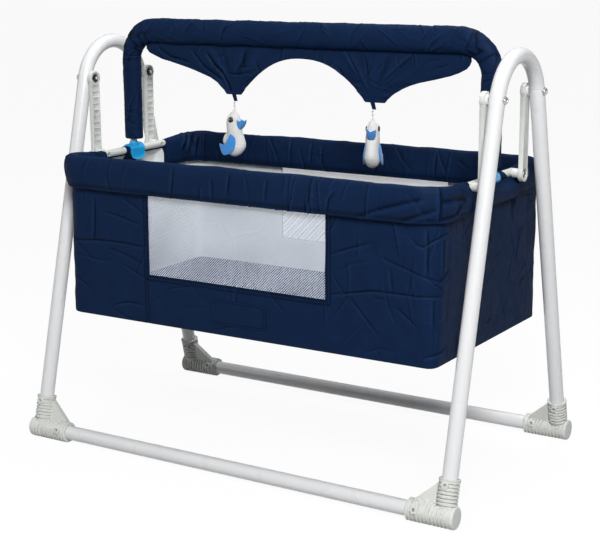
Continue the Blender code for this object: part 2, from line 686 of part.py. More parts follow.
def build_lower_bolt(side, end, finish):
    """Make one lower pivot bolt, its head in the outer recess of a link and its end in the hanger bar."""
    head_x = LINK_OUTER_X - LINK_RECESS_DEPTH + FIT
    tail_x = HANGER_X - RAIL_BOLT_REACH
    length = head_x - tail_x
    profile = ((0.0, BOLT_RADIUS), (length, BOLT_RADIUS), (length, LOWER_HEAD_RADIUS),
               (length + LOWER_HEAD_HEIGHT / 2, LOWER_HEAD_RADIUS),
               (length + LOWER_HEAD_HEIGHT, LOWER_HEAD_RADIUS * LOWER_HEAD_DOME_SHARE))
    bm = bmesh.new()
    add_turned(bm, profile, lower_pivot_point(side, end, tail_x), (SIDES[side], 0, 0), SMALL_SIDES)
    add_piece(f"lower_pivot_bolt_{end}_{side}", bm, finish, origin=lower_pivot_point(side, end, HANGER_X))


def add_bolt_holes(bm, side, ends):
    """Add the drills for the lower pivot bolts: full size in the outer walls, access holes in the inner ones."""
    for end in ends:
        add_turned(bm, ((0.0, ACCESS_HOLE_RADIUS), (HANGER_OD, ACCESS_HOLE_RADIUS),
                        (HANGER_OD, BOLT_RADIUS + FIT), (HANGER_OD * 2, BOLT_RADIUS + FIT)),
                   lower_pivot_point(side, end, HANGER_X - HANGER_OD), (SIDES[side], 0, 0), SMALL_SIDES)


def build_hanger_bar(side, finish):
    """Make one hanger bar: the bare tube in the middle of a basket end."""
    half = HANGER_LENGTH / 2
    x = SIDES[side] * HANGER_X
    points = [Vector((x, y, HANGER_Z)) for y in (-half, half)]
    bm = bmesh.new()
    add_round_tube(bm, points, (0, 0, 1), HANGER_OD / 2, HANGER_BORE_RADIUS, SMALL_SIDES)
    bar = add_piece(f"hanger_bar_{side}", bm, finish, origin=(x, 0.0, HANGER_Z))
    drill = bmesh.new()
    add_bolt_holes(drill, side, ENDS)
    combine(bar, add_tool(f"cut_hanger_bar_{side}", drill))


def rim_path(end, start_y):
    """Give the flat path of a rim rail round its two corners, from a place on each hanger bar."""
    sign = ENDS[end]
    left_start = (-HANGER_X, sign * start_y, HANGER_Z)
    left_corner = (-HANGER_X, sign * RAIL_Y, HANGER_Z)
    right_corner = (HANGER_X, sign * RAIL_Y, HANGER_Z)
    right_start = (HANGER_X, sign * start_y, HANGER_Z)
    left = bend_path(left_corner, left_start, right_corner, RAIL_CORNER_RADIUS, CORNER_STEPS)
    right = bend_path(right_corner, left_corner, right_start, RAIL_CORNER_RADIUS, CORNER_STEPS)
    return Vector(left_start), left, right, Vector(right_start)


def build_rim_rail(end, finish):
    """Bend one rim rail, hidden in the padded rim and plugged into both hanger bars."""
    first, left, right, last = rim_path(end, HANGER_LENGTH / 2 - RAIL_PLUG_LENGTH)
    bm = bmesh.new()
    add_round_tube(bm, [first, *left, *right, last], (0, 0, 1), RAIL_RADIUS, RAIL_RADIUS - RAIL_WALL, RAIL_SIDES)
    rail = add_piece(f"rim_rail_{end}", bm, finish, origin=(0.0, ENDS[end] * RAIL_Y, HANGER_Z))
    drill = bmesh.new()
    for side in SIDES:
        add_bolt_holes(drill, side, (end,))
    combine(rail, add_tool(f"cut_rim_rail_{end}", drill))


def roll_section(swell):
    """Give the section of the padded roll round its rail: upright, fuller near its lower edge."""
    half = (ROLL_THICKNESS + swell) / 2
    height = ROLL_TOP + swell / 2 - ROLL_BOTTOM
    base = ROLL_BOTTOM - HANGER_Z
    right = [(half * u, base + height * v) for u, v in ROLL_SECTION_SHARES]
    left = [(-u, v) for u, v in reversed(right) if u > 0.0]
    return right + left


def build_rim_roll(end, finish):
    """Sew one padded roll over a rim rail, from one hanger bar round both corners to the other."""
    first, left, right, last = rim_path(end, ROLL_MOUTH_Y)
    taper = Vector((0.0, ENDS[end] * ROLL_MOUTH_TAPER, 0.0))
    spans = 4
    middle = [left[-1].lerp(right[0], k / spans) for k in range(1, spans)]
    points = [first, first + taper, *left, *middle, *right, last + taper, last]
    swells = [-ROLL_PUFF * 2, 0.0] + [0.0] * len(left) + [ROLL_PUFF] * len(middle) + [0.0] * len(right)
    swells += [0.0, -ROLL_PUFF * 2]
    outer = [roll_section(swell) for swell in swells]
    sides = len(outer[0])
    bore = RAIL_RADIUS + ROLL_RAIL_FIT
    quarter = math.pi / 2
    turn = 2 * math.pi / sides
    round_section = [(bore * math.cos(quarter - turn * k), bore * math.sin(quarter - turn * k)) for k in range(sides)]
    bm = bmesh.new()
    add_swept_tube(bm, points, (0, 0, 1), outer, [round_section] * len(points))
    add_piece(f"rim_roll_{end}", bm, finish, origin=(0.0, ENDS[end] * RAIL_Y, HANGER_Z), smooth_deg=60.0)


def cover_plan(z, inset, window_edge):
    """Give half of a long panel's plan at a height: from its middle, past the window's edge and round a corner,
    to its join with the end panel."""
    rise = (z - COVER_BOTTOM) / (PANEL_TOP - COVER_BOTTOM)
    radius = COVER_CORNER_BOTTOM + (COVER_CORNER_TOP - COVER_CORNER_BOTTOM) * rise
    centre_x = COVER_LENGTH / 2 - radius
    centre_y = COVER_WIDTH / 2 - radius
    plan = [(0.0, COVER_WIDTH / 2 - inset), (window_edge, COVER_WIDTH / 2 - inset)]
    for k in range(CORNER_STEPS + 1):
        angle = math.pi / 2 * (1 - k / CORNER_STEPS)
        plan.append((centre_x + (radius - inset) * math.cos(angle), centre_y + (radius - inset) * math.sin(angle)))
    plan.append((COVER_LENGTH / 2 - inset, COVER_JOIN_Y))
    return plan


def build_long_panel(end, finish):
    """Cut one long cover panel: it has a window notch and wraps round both corners."""
    levels = (COVER_BOTTOM, WINDOW_BOTTOM, PANEL_TOP)
    shift = WINDOW_SHIFTS[end]
    bm = bmesh.new()
    sheets = []
    for inset in (0.0, COVER_THICKNESS):
        rows = []
        for z in levels:
            left_plan = cover_plan(z, inset, WINDOW_LENGTH / 2 - shift)
            plan = [(-x, y) for x, y in reversed(left_plan[1:])] + cover_plan(z, inset, WINDOW_LENGTH / 2 + shift)
            rows.append([bm.verts.new((x, ENDS[end] * y, z)) for x, y in plan])
        sheets.append(rows)
        for level in range(len(levels) - 1):
            for k in range(len(rows[0]) - 1):
                middle = (rows[0][k].co.x + rows[0][k + 1].co.x) / 2
                in_window = abs(middle - shift) < WINDOW_LENGTH / 2 and level > 0
                if not in_window:
                    bm.faces.new((rows[level][k], rows[level][k + 1], rows[level + 1][k + 1], rows[level + 1][k]))
    close_sheets(bm, *sheets)
    add_piece(f"cover_{end}", bm, finish, origin=(0.0, ENDS[end] * COVER_WIDTH / 2, COVER_BOTTOM))


def close_sheets(bm, first, second):
    """Close two matching sheets of faces into one body with a wall round every open edge."""
    partner = {a: b for row_a, row_b in zip(first, second) for a, b in zip(row_a, row_b)}
    open_edges = [edge for edge in bm.edges if len(edge.link_faces) == 1 and edge.verts[0] in partner]
    for edge in open_edges:
        a, b = edge.verts
        bm.faces.new((a, b, partner[b], partner[a]))
    for vert in [vert for vert in bm.verts if not vert.link_faces]:
        bm.verts.remove(vert)


def build_end_panel(side, finish):
    """Cut one end cover panel: raised between the rolls, with a tab up to the hanger bar."""
    half = COVER_JOIN_Y - FIT
    rise = END_PANEL_RISE_WIDTH / 2
    tab = END_TAB_WIDTH / 2
    bar = HANGER_Z - HANGER_OD / 2
    top = bar - END_PANEL_BAR_GAP
    outline = ((-half, COVER_BOTTOM), (half, COVER_BOTTOM), (half, PANEL_TOP), (rise, PANEL_TOP), (rise, top),
               (tab, top), (tab, bar - FIT), (-tab, bar - FIT), (-tab, top), (-rise, top), (-rise, PANEL_TOP),
               (-half, PANEL_TOP))
    bm = bmesh.new()
    add_prism(bm, outline, (0, 0, 0), (0, 1, 0), (0, 0, 1), (SIDES[side], 0, 0),
              COVER_LENGTH / 2 - COVER_THICKNESS, COVER_LENGTH / 2)
    add_piece(f"cover_{side}", bm, finish, origin=(SIDES[side] * COVER_LENGTH / 2, 0.0, COVER_BOTTOM))


def build_base(cloth_finish, board_finish):
    """Make the bottom cloth and the base board on it."""
    half_x = COVER_LENGTH / 2 - COVER_THICKNESS - FIT
    half_y = COVER_WIDTH / 2 - COVER_THICKNESS - FIT
    outline = rounded_rectangle(2 * half_x, 2 * half_y, COVER_CORNER_BOTTOM, CORNER_STEPS)
    place, along, beside, upward = (0, 0, 0), (1, 0, 0), (0, 1, 0), (0, 0, 1)
    cloth = bmesh.new()
    add_prism(cloth, outline, place, along, beside, upward, COVER_BOTTOM, COVER_BOTTOM + BOTTOM_CLOTH)
    add_piece("cover_bottom", cloth, cloth_finish, origin=(0.0, 0.0, COVER_BOTTOM))
    low = COVER_BOTTOM + BOTTOM_CLOTH + FIT
    board = bmesh.new()
    add_prism(board, outline, place, along, beside, upward, low, low + BOARD_THICKNESS)
    add_piece("base_board", board, board_finish, origin=(0.0, 0.0, low))


def build_mattress(finish):
    """Sew the mattress: crowned on top, its sides drawn in between the corners."""
    length = COVER_LENGTH - 2 * (COVER_THICKNESS + MATTRESS_GAP)
    width = COVER_WIDTH - 2 * (COVER_THICKNESS + MATTRESS_GAP)
    low = COVER_BOTTOM + BOTTOM_CLOTH + BOARD_THICKNESS + 2 * FIT
    levels = [(MATTRESS_EDGE * inset_share, height_share, pull_share)
              for inset_share, height_share, pull_share in MATTRESS_SIDE_SHARES]
    levels += [(MATTRESS_CORNER, 1.0, 0.0), (width * MATTRESS_CROWN_START_SHARE, 1.0, 0.0)]
    rings = []
    for inset, height_share, pull_share in levels:
        ring = []
        corner = max(MATTRESS_CORNER - inset, MATTRESS_CORNER * MATTRESS_LEAST_CORNER_SHARE)
        for x, y in rounded_rectangle(length - 2 * inset, width - 2 * inset, corner, CORNER_STEPS):
            along = math.cos(math.pi * x / length)
            beside = math.cos(math.pi * y / width)
            pull = MATTRESS_PULL * pull_share
            x -= math.copysign(pull * beside, x) * abs(2 * x / length) ** 4
            y -= math.copysign(pull * along, y) * abs(2 * y / width) ** 4
            crown = MATTRESS_CROWN * max(along, 0.0) ** 0.5 * max(beside, 0.0) ** 0.5
            crown = crown if height_share == 1.0 else 0.0
            ring.append(Vector((x, y, low + MATTRESS_THICKNESS * height_share + crown)))
        rings.append(ring)
    bm = bmesh.new()
    rows = skin(bm, rings)
    bm.faces.new(rows[0])
    middle = bm.verts.new((0.0, 0.0, low + MATTRESS_THICKNESS + MATTRESS_CROWN))
    last = rows[-1]
    for k in range(len(last)):
        bm.faces.new((last[k], last[(k + 1) % len(last)], middle))
    add_piece("mattress", bm, finish, origin=(0.0, 0.0, low), smooth_deg=60.0)


def build_net(end, finish):
    """Make one mesh window: a flat net of strands in the notch of a long panel."""
    half = WINDOW_LENGTH / 2 - FIT
    low = WINDOW_BOTTOM + FIT
    cell_x = (2 * half - NET_STRAND) / NET_COLUMNS
    cell_z = (PANEL_TOP - low - NET_STRAND) / NET_ROWS
    columns = []
    for k in range(NET_COLUMNS + 1):
        left = WINDOW_SHIFTS[end] - half + cell_x * k
        columns += [left, left + NET_STRAND]
    lines = []
    for k in range(NET_ROWS + 1):
        lines += [low + cell_z * k, low + cell_z * k + NET_STRAND]
    middle = COVER_WIDTH / 2 - COVER_THICKNESS / 2
    bm = bmesh.new()
    sheets = []
    for y in (middle - NET_THICKNESS / 2, middle + NET_THICKNESS / 2):
        sheets.append([[bm.verts.new((x, ENDS[end] * y, z)) for z in lines] for x in columns])
    for sheet in sheets:
        for i in range(len(columns) - 1):
            for j in range(len(lines) - 1):
                if i % 2 == 0 or j % 2 == 0:
                    bm.faces.new((sheet[i][j], sheet[i + 1][j], sheet[i + 1][j + 1], sheet[i][j + 1]))
    close_sheets(bm, *sheets)
    add_piece(f"mesh_window_{end}", bm, finish, origin=(0.0, ENDS[end] * middle, WINDOW_BOTTOM))


def clamp_section():
    """Give the section of a clamp: a hook over the bar with a lip down inside the end panel."""
    inner = HANGER_OD / 2 + FIT
    outer = inner + CLAMP_WALL
    steps = 12
    angles = [math.radians(CLAMP_WRAP_DEG) * k / steps for k in range(steps + 1)]
    outline = [(outer * math.cos(angle), outer * math.sin(angle)) for angle in angles]
    outline += [(inner * math.cos(angle), inner * math.sin(angle)) for angle in reversed(angles)]
    panel = HANGER_X - COVER_LENGTH / 2 + COVER_THICKNESS + FIT
    bend = -CLAMP_LIP_DROP * CLAMP_LIP_BEND_SHARE
    lip = [(panel, -HANGER_OD / 2), (panel, bend), (panel + CLAMP_LIP_FLARE, -CLAMP_LIP_DROP)]
    outline += lip
    outline += [(u + CLAMP_LIP_WALL, v) for u, v in reversed(lip)]
    return outline


def build_clamp(side, finish):
    """Mould one clamp: a snap sleeve on the hanger bar with a collar and a spigot on top."""
    centre = Vector((SIDES[side] * HANGER_X, 0.0, HANGER_Z))
    bm = bmesh.new()
    half = CLAMP_LENGTH / 2
    add_prism(bm, clamp_section(), centre, (-SIDES[side], 0, 0), (0, 0, 1), (0, 1, 0), -half, half)
    clamp = add_piece(f"arch_clamp_{side}", bm, finish, origin=centre)
    base = HANGER_OD / 2 + FIT + CLAMP_WALL / 3
    collar_top = HANGER_OD / 2 + FIT + CLAMP_WALL + COLLAR_HEIGHT
    spigot = (ARCH_TUBE_OD / 2 - ARCH_TUBE_WALL) * math.cos(math.pi / RAIL_SIDES) - RUNNING_FIT
    top = collar_top + SPIGOT_HEIGHT
    post = bmesh.new()
    add_turned(post, ((base, COLLAR_RADIUS), (collar_top, COLLAR_RADIUS), (collar_top, spigot),
                      (top - spigot / 2, spigot), (top, spigot / 2)), centre, (0, 0, 1), SMALL_SIDES)
    combine(clamp, add_tool(f"join_spigot_{side}", post), "UNION")


def arch_path(foot_z, steps):
    """Give the flat path of the toy arch from one foot over the top to the other."""
    left_foot, right_foot = (-HANGER_X, 0, foot_z), (HANGER_X, 0, foot_z)
    left_corner, right_corner = (-HANGER_X, 0, ARCH_TOP_AXIS), (HANGER_X, 0, ARCH_TOP_AXIS)
    left = bend_path(left_corner, left_foot, right_corner, ARCH_BEND_RADIUS, steps)
    right = bend_path(right_corner, left_corner, right_foot, ARCH_BEND_RADIUS, steps)
    return [Vector(left_foot)], left, right, [Vector(right_foot)]


def build_arch_tube(finish):
    """Bend the tube of the toy arch, open at its feet where it slips over the spigots."""
    points = sum(arch_path(ARCH_FOOT_Z, CORNER_STEPS), [])
    bm = bmesh.new()
    add_round_tube(bm, points, (0, 1, 0), ARCH_TUBE_OD / 2, ARCH_TUBE_OD / 2 - ARCH_TUBE_WALL, RAIL_SIDES)
    add_piece("arch_tube", bm, finish, origin=(0.0, 0.0, ARCH_FOOT_Z))


def build_arch_sleeve(finish):
    """Sew the padded sleeve over the arch tube, fuller along the top."""
    first, left, right, last = arch_path(SLEEVE_BOTTOM_Z, CORNER_STEPS)
    points = first + left + right + last
    widths = [SLEEVE_LEG_WIDTH]
    for k in range(CORNER_STEPS + 1):
        widths.append(SLEEVE_LEG_WIDTH + (SLEEVE_TOP_WIDTH - SLEEVE_LEG_WIDTH) * k / CORNER_STEPS)
    widths += list(reversed(widths))
    outer = [oval_section(width, SLEEVE_DEPTH, SLEEVE_SIDES) for width in widths]
    bore = ARCH_TUBE_OD + 2 * SLEEVE_TUBE_FIT
    bm = bmesh.new()
    add_swept_tube(bm, points, (0, 1, 0), outer, [oval_section(bore, bore, SLEEVE_SIDES)] * len(points))
    add_piece("arch_sleeve", bm, finish, origin=(0.0, 0.0, ARCH_FOOT_Z), smooth_deg=60.0)


def drop_reach(x):
    """Give how far from the middle the drop lies on the side of a place."""
    return DROP_X + math.copysign(DROP_SHIFT, x)


def drop_place(side):
    """Give where one drop lies along the arch."""
    return SIDES[side] * drop_reach(SIDES[side])


def pelmet_depth(x):
    """Give the depth of the pelmet below its top edge at a place along it."""
    reach = abs(x)
    inner_edge = drop_reach(x) - DROP_FLAT / 2
    outer_edge = drop_reach(x) + DROP_FLAT / 2
    if reach <= inner_edge:
        share = reach / inner_edge
        return CROWN_DEPTH + (DROP_DEPTH - CROWN_DEPTH) * share ** 2
    if reach <= outer_edge:
        return DROP_DEPTH
    share = (PELMET_LENGTH / 2 - reach) / (PELMET_LENGTH / 2 - outer_edge)
    return END_DEPTH + (DROP_DEPTH - END_DEPTH) * share_curve(PELMET_OUTER_SHARES, share)


def pelmet_top(x):
    """Give the height of the pelmet's top edge at a place: level, then down along the bends of the sleeve."""
    beyond = abs(x) - (HANGER_X - ARCH_BEND_RADIUS)
    inner_radius = (ARCH_BEND_RADIUS - SLEEVE_TOP_WIDTH / 2) * math.cos(math.pi / 4 / CORNER_STEPS) - 2 * FIT
    if beyond <= 0.0:
        return PELMET_TOP_Z - FIT
    return ARCH_TOP_AXIS - ARCH_BEND_RADIUS + math.sqrt(inner_radius ** 2 - beyond ** 2)


def pelmet_fold(x, depth_share):
    """Give how far the cloth stands forward at a place, in folds that gather at the drop points."""
    from_drop = (abs(x) - drop_reach(x)) / DROP_X
    wave = math.sin(2 * math.pi * (PELMET_FOLDS * from_drop + PELMET_FOLD_SLANT * depth_share))
    fade = math.exp(-PELMET_FOLD_FADE * abs(from_drop))
    return PELMET_FOLD * wave * fade * depth_share


def pelmet_places(sign):
    """Give where the pelmet's columns lie on one side, from the middle outwards."""
    outer_steps, inner_steps = 8, 7
    drop, strap, flat = drop_reach(sign), STRAP_WIDTH / 2, DROP_FLAT / 2
    outer_run = PELMET_LENGTH / 2 - drop - flat
    inner_run = drop - flat
    places = [inner_run * k / inner_steps for k in range(inner_steps)]
    places += [drop - flat, drop - strap, drop + strap, drop + flat]
    return places + [drop + flat + outer_run * (k + 1) / outer_steps for k in range(outer_steps)]


def build_pelmet(finish):
    """Sew the scalloped pelmet under the arch, with a short strap at each of its two drops."""
    places = [-x for x in reversed(pelmet_places(-1)[1:])] + pelmet_places(1)
    depth_shares = (0.0, 0.34, 0.68, 1.0)
    bm = bmesh.new()
    sheets = []
    for offset in (-PELMET_CLOTH / 2, PELMET_CLOTH / 2):
        sheet = []
        for x in places:
            top = pelmet_top(x)
            low = PELMET_TOP_Z - pelmet_depth(x)
            sheet.append([bm.verts.new((x, offset + pelmet_fold(x, share), top + (low - top) * share))
                          for share in depth_shares])
        for column in (k for k, x in enumerate(places) if abs(abs(x) - drop_reach(x)) < STRAP_WIDTH / 2 + FIT):
            low = sheet[column][-1].co
            sheet[column].append(bm.verts.new((low.x, low.y, low.z - STRAP_LENGTH)))
        for first, second in zip(sheet, sheet[1:]):
            for row in range(min(len(first), len(second)) - 1):
                bm.faces.new((first[row], second[row], second[row + 1], first[row + 1]))
        sheets.append(sheet)
    close_sheets(bm, *sheets)
    add_piece("pelmet", bm, finish, origin=(0.0, 0.0, PELMET_TOP_Z), smooth_deg=60.0)


def build_string(side, finish):
    """Make the string of one toy, round at its top end so that it turns under its strap."""
    pivot = Vector((drop_place(side), 0.0, TOY_PIVOT_Z))
    radius = STRING_RADIUS
    profile = [(-STRING_LENGTH, radius / 2), (-STRING_LENGTH + radius / 2, radius), (0.0, radius)]
    profile += [(radius * along_share, radius * across_share) for along_share, across_share in STRING_TOP_SHARES]
    bm = bmesh.new()
    add_turned(bm, profile, pivot, (0, 0, 1), SCREW_SIDES)
    add_piece(f"toy_string_{side}", bm, finish, origin=pivot)


def bird_places(side):
    """Give the middle of one bird's head and the top and bottom of its body."""
    head_top = TOY_PIVOT_Z - STRING_LENGTH - FIT
    head = Vector((drop_place(side), 0.0, head_top - BIRD_HEAD_RADIUS))
    body_top = head.z - BIRD_HEAD_RADIUS + BIRD_NECK_OVERLAP
    return head, body_top, body_top - BIRD_BODY_HEIGHT


def add_bird_body(bm, side, growth):
    """Add the egg of a bird's body, full low down and tapering to the neck, larger by a growth."""
    head, top, bottom = bird_places(side)
    turn = Matrix.Rotation(math.radians(BIRD_TURNS_DEG[side]), 3, "Z")
    rings = []
    for share, width in BIRD_BODY_WIDTH_SHARES[1:-1]:
        ring = []
        for k in range(SMALL_SIDES):
            around = 2 * math.pi * k / SMALL_SIDES
            local = Vector(((BIRD_BODY_LENGTH / 2 * width + growth) * math.cos(around),
                            (BIRD_BODY_WIDTH / 2 * width + growth) * math.sin(around), 0.0))
            ring.append(Vector((head.x, head.y, bottom + (top - bottom) * share)) + turn @ local)
        rings.append(ring)
    add_poled_skin(bm, rings, (head.x, head.y, bottom - growth), (head.x, head.y, top + growth))


def build_bird(side, plush_finish, wing_finish):
    """Sew one plush bird: a body, a head with its beak, and a saddle that makes both wings."""
    head, top, bottom = bird_places(side)
    turn_deg = BIRD_TURNS_DEG[side]
    facing = Matrix.Rotation(math.radians(turn_deg), 3, "Z") @ Vector((1.0, 0.0, 0.0))
    pivot = Vector((head.x, 0.0, TOY_PIVOT_Z))

    bm = bmesh.new()
    add_bird_body(bm, side, 0.0)
    add_piece(f"toy_body_{side}", bm, plush_finish, origin=pivot, smooth_deg=80.0)

    grown = bmesh.new()
    add_bird_body(grown, side, FIT)
    body_tool = add_tool(f"cut_by_body_{side}", grown)

    bm = bmesh.new()
    add_ellipsoid(bm, head, (BIRD_HEAD_RADIUS,) * 3, SMALL_SIDES, 8, turn_deg)
    bird_head = add_piece(f"toy_head_{side}", bm, plush_finish, origin=pivot, smooth_deg=80.0)
    beak = bmesh.new()
    add_ellipsoid(beak, head + facing * BIRD_HEAD_RADIUS - Vector((0, 0, BEAK_HEIGHT / 2)),
                  (BEAK_LENGTH / 2, BEAK_WIDTH / 2, BEAK_HEIGHT / 2), SCREW_SIDES, 6, turn_deg)
    combine(bird_head, add_tool(f"join_beak_{side}", beak), "UNION")
    combine(bird_head, body_tool)

    wing_z = bottom + BIRD_BODY_HEIGHT * WING_HEIGHT_ON_BODY_SHARE
    middle = Vector((head.x, head.y, wing_z)) - facing * WING_SETBACK
    bm = bmesh.new()
    add_ellipsoid(bm, middle, (WING_LENGTH / 2, WING_SPREAD / 2, WING_HEIGHT / 2), SMALL_SIDES, 8, turn_deg)
    wings = add_piece(f"toy_wings_{side}", bm, wing_finish, origin=pivot, smooth_deg=80.0)
    combine(wings, body_tool)


def main():
    """Build the whole cradle."""
    clear_scene()
    white_paint = make_material("white_paint", (0.86, 0.87, 0.88), 0.30)
    grey_plastic = make_material("grey_plastic", (0.66, 0.68, 0.65), 0.50)
    zinc = make_material("zinc_plated_steel", (0.62, 0.63, 0.64), 0.30, 1.0)
    navy_cloth = make_material("navy_cloth", (0.012, 0.026, 0.085), 0.80)
    net = make_material("mesh_net", (0.55, 0.62, 0.70), 0.70)
    lining = make_material("mattress_cloth", (0.48, 0.49, 0.50), 0.90)
    board = make_material("board", (0.42, 0.28, 0.16), 0.80)
    blue_plastic = make_material("blue_plastic", (0.01, 0.24, 0.62), 0.35)
    plush = make_material("white_plush", (0.85, 0.85, 0.84), 0.95)
    blue_felt = make_material("blue_felt", (0.08, 0.30, 0.68), 0.95)
    cord = make_material("white_cord", (0.80, 0.80, 0.80), 0.80)

    for side in SIDES:
        build_end_frame(side, white_paint)
    for end in ENDS:
        build_floor_tube(end, white_paint)
    for end in ENDS:
        for side in SIDES:
            build_connector(side, end, grey_plastic)
            build_screw(f"leg_screw_{end}_{side}", *leg_screw_place(side, end), LEG_SOCKET_RADIUS, zinc)
            build_screw(f"floor_screw_{end}_{side}", *floor_screw_place(side, end), BARREL_RADIUS, zinc)
            build_upper_bolt(side, end, zinc)
            build_nut(side, end, zinc)
            build_link(side, end, grey_plastic)
            build_lower_bolt(side, end, zinc)

    for side in SIDES:
        build_hanger_bar(side, white_paint)
        build_end_panel(side, navy_cloth)
        build_clamp(side, blue_plastic)
    for end in ENDS:
        build_rim_rail(end, white_paint)
        build_rim_roll(end, navy_cloth)
        build_long_panel(end, navy_cloth)
        build_net(end, net)
    build_base(navy_cloth, board)
    build_mattress(lining)

    build_arch_tube(white_paint)
    build_arch_sleeve(navy_cloth)
    build_pelmet(navy_cloth)
    for side in SIDES:
        build_string(side, cord)
        build_bird(side, plush, blue_felt)


main()
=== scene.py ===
"""The looks of the swing cradle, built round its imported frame.

Lengths are in metres. +X runs to the cradle's right end, -Y is its front and +Z is up.
"""

import json
import logging
import math
from dataclasses import dataclass, field
from enum import Enum

import bmesh
import bpy
import numpy as np
from mathutils import Matrix, Vector


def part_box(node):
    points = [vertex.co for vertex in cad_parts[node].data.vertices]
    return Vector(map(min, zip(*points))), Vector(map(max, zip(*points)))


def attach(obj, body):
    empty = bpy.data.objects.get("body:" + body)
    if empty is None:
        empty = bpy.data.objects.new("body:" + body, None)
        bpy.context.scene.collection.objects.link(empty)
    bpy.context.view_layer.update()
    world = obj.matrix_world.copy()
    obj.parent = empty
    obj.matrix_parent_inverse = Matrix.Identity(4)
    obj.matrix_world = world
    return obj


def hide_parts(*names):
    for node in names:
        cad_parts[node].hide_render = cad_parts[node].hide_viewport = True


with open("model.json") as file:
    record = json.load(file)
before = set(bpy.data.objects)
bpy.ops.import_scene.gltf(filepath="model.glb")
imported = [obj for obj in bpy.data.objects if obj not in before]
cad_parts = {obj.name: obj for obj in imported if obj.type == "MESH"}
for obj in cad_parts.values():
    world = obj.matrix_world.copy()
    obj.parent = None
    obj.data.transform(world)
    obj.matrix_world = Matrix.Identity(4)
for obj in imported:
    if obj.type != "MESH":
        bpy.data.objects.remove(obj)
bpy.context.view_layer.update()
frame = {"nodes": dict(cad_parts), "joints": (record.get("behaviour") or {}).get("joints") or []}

LOG = logging.getLogger("cradle")
Array = np.ndarray
Piece, Material, Socket = bpy.types.Object, bpy.types.Material, bpy.types.NodeSocket
Colour = tuple[float, float, float]
Curve = tuple[tuple[float, ...], ...]
FULL_TURN = 2 * math.pi
UP = np.array((0.0, 0.0, 1.0))
BACK = np.array((0.0, 1.0, 0.0))
RIGHT = np.array((1.0, 0.0, 0.0))
DIAGONAL = math.sqrt(0.5)
CORNER_POINTS = 9
TURNED_DEG, MOULD_DEG, SOFT_DEG, ALL_SMOOTH = 35.0, 40.0, 60.0, 180.0
# The crease heights, scaled by this depth and held in this range, go into a point attribute that paints shade
# into the cloth's colour in the grooves and a highlight on the ridges.
CREASE_SHADE_ATTRIBUTE = "fold"
CREASE_SHADE_DEPTH = 0.0030
DEEPEST_CREASE_SHADE, BRIGHTEST_RIDGE_HIGHLIGHT = -0.5, 0.2
SIDES = {"left": -1, "right": 1}
ENDS = {"front": -1, "back": 1}


class Slot(Enum):
    """The record's material slots."""

    PAINT = "white_paint"
    GREY = "grey_plastic"
    ZINC = "zinc"
    NAVY = "navy_cloth"
    NET = "net"
    COTTON = "mattress_cloth"
    BLUE = "blue_plastic"
    PLUSH = "plush"
    FELT = "felt"
    CORD = "cord"


def shade(colour: Colour, share: float) -> Colour:
    """Give a share of a colour's light."""
    return tuple(part * share for part in colour)


def add_node(tree: bpy.types.NodeTree, kind: str, values: dict | None = None,
             **settings: object) -> bpy.types.Node:
    """Add a node to a tree.

    Args:
        tree: The node tree.
        kind: The node's type.
        values: What each input holds: a number, a colour or another node's output.
        settings: The node's own properties.

    Returns:
        The new node.
    """
    made = tree.nodes.new(kind)
    for key, value in settings.items():
        setattr(made, key, value)
    for key, value in (values or {}).items():
        if isinstance(value, Socket):
            tree.links.new(value, made.inputs[key])
        else:
            made.inputs[key].default_value = value
    return made


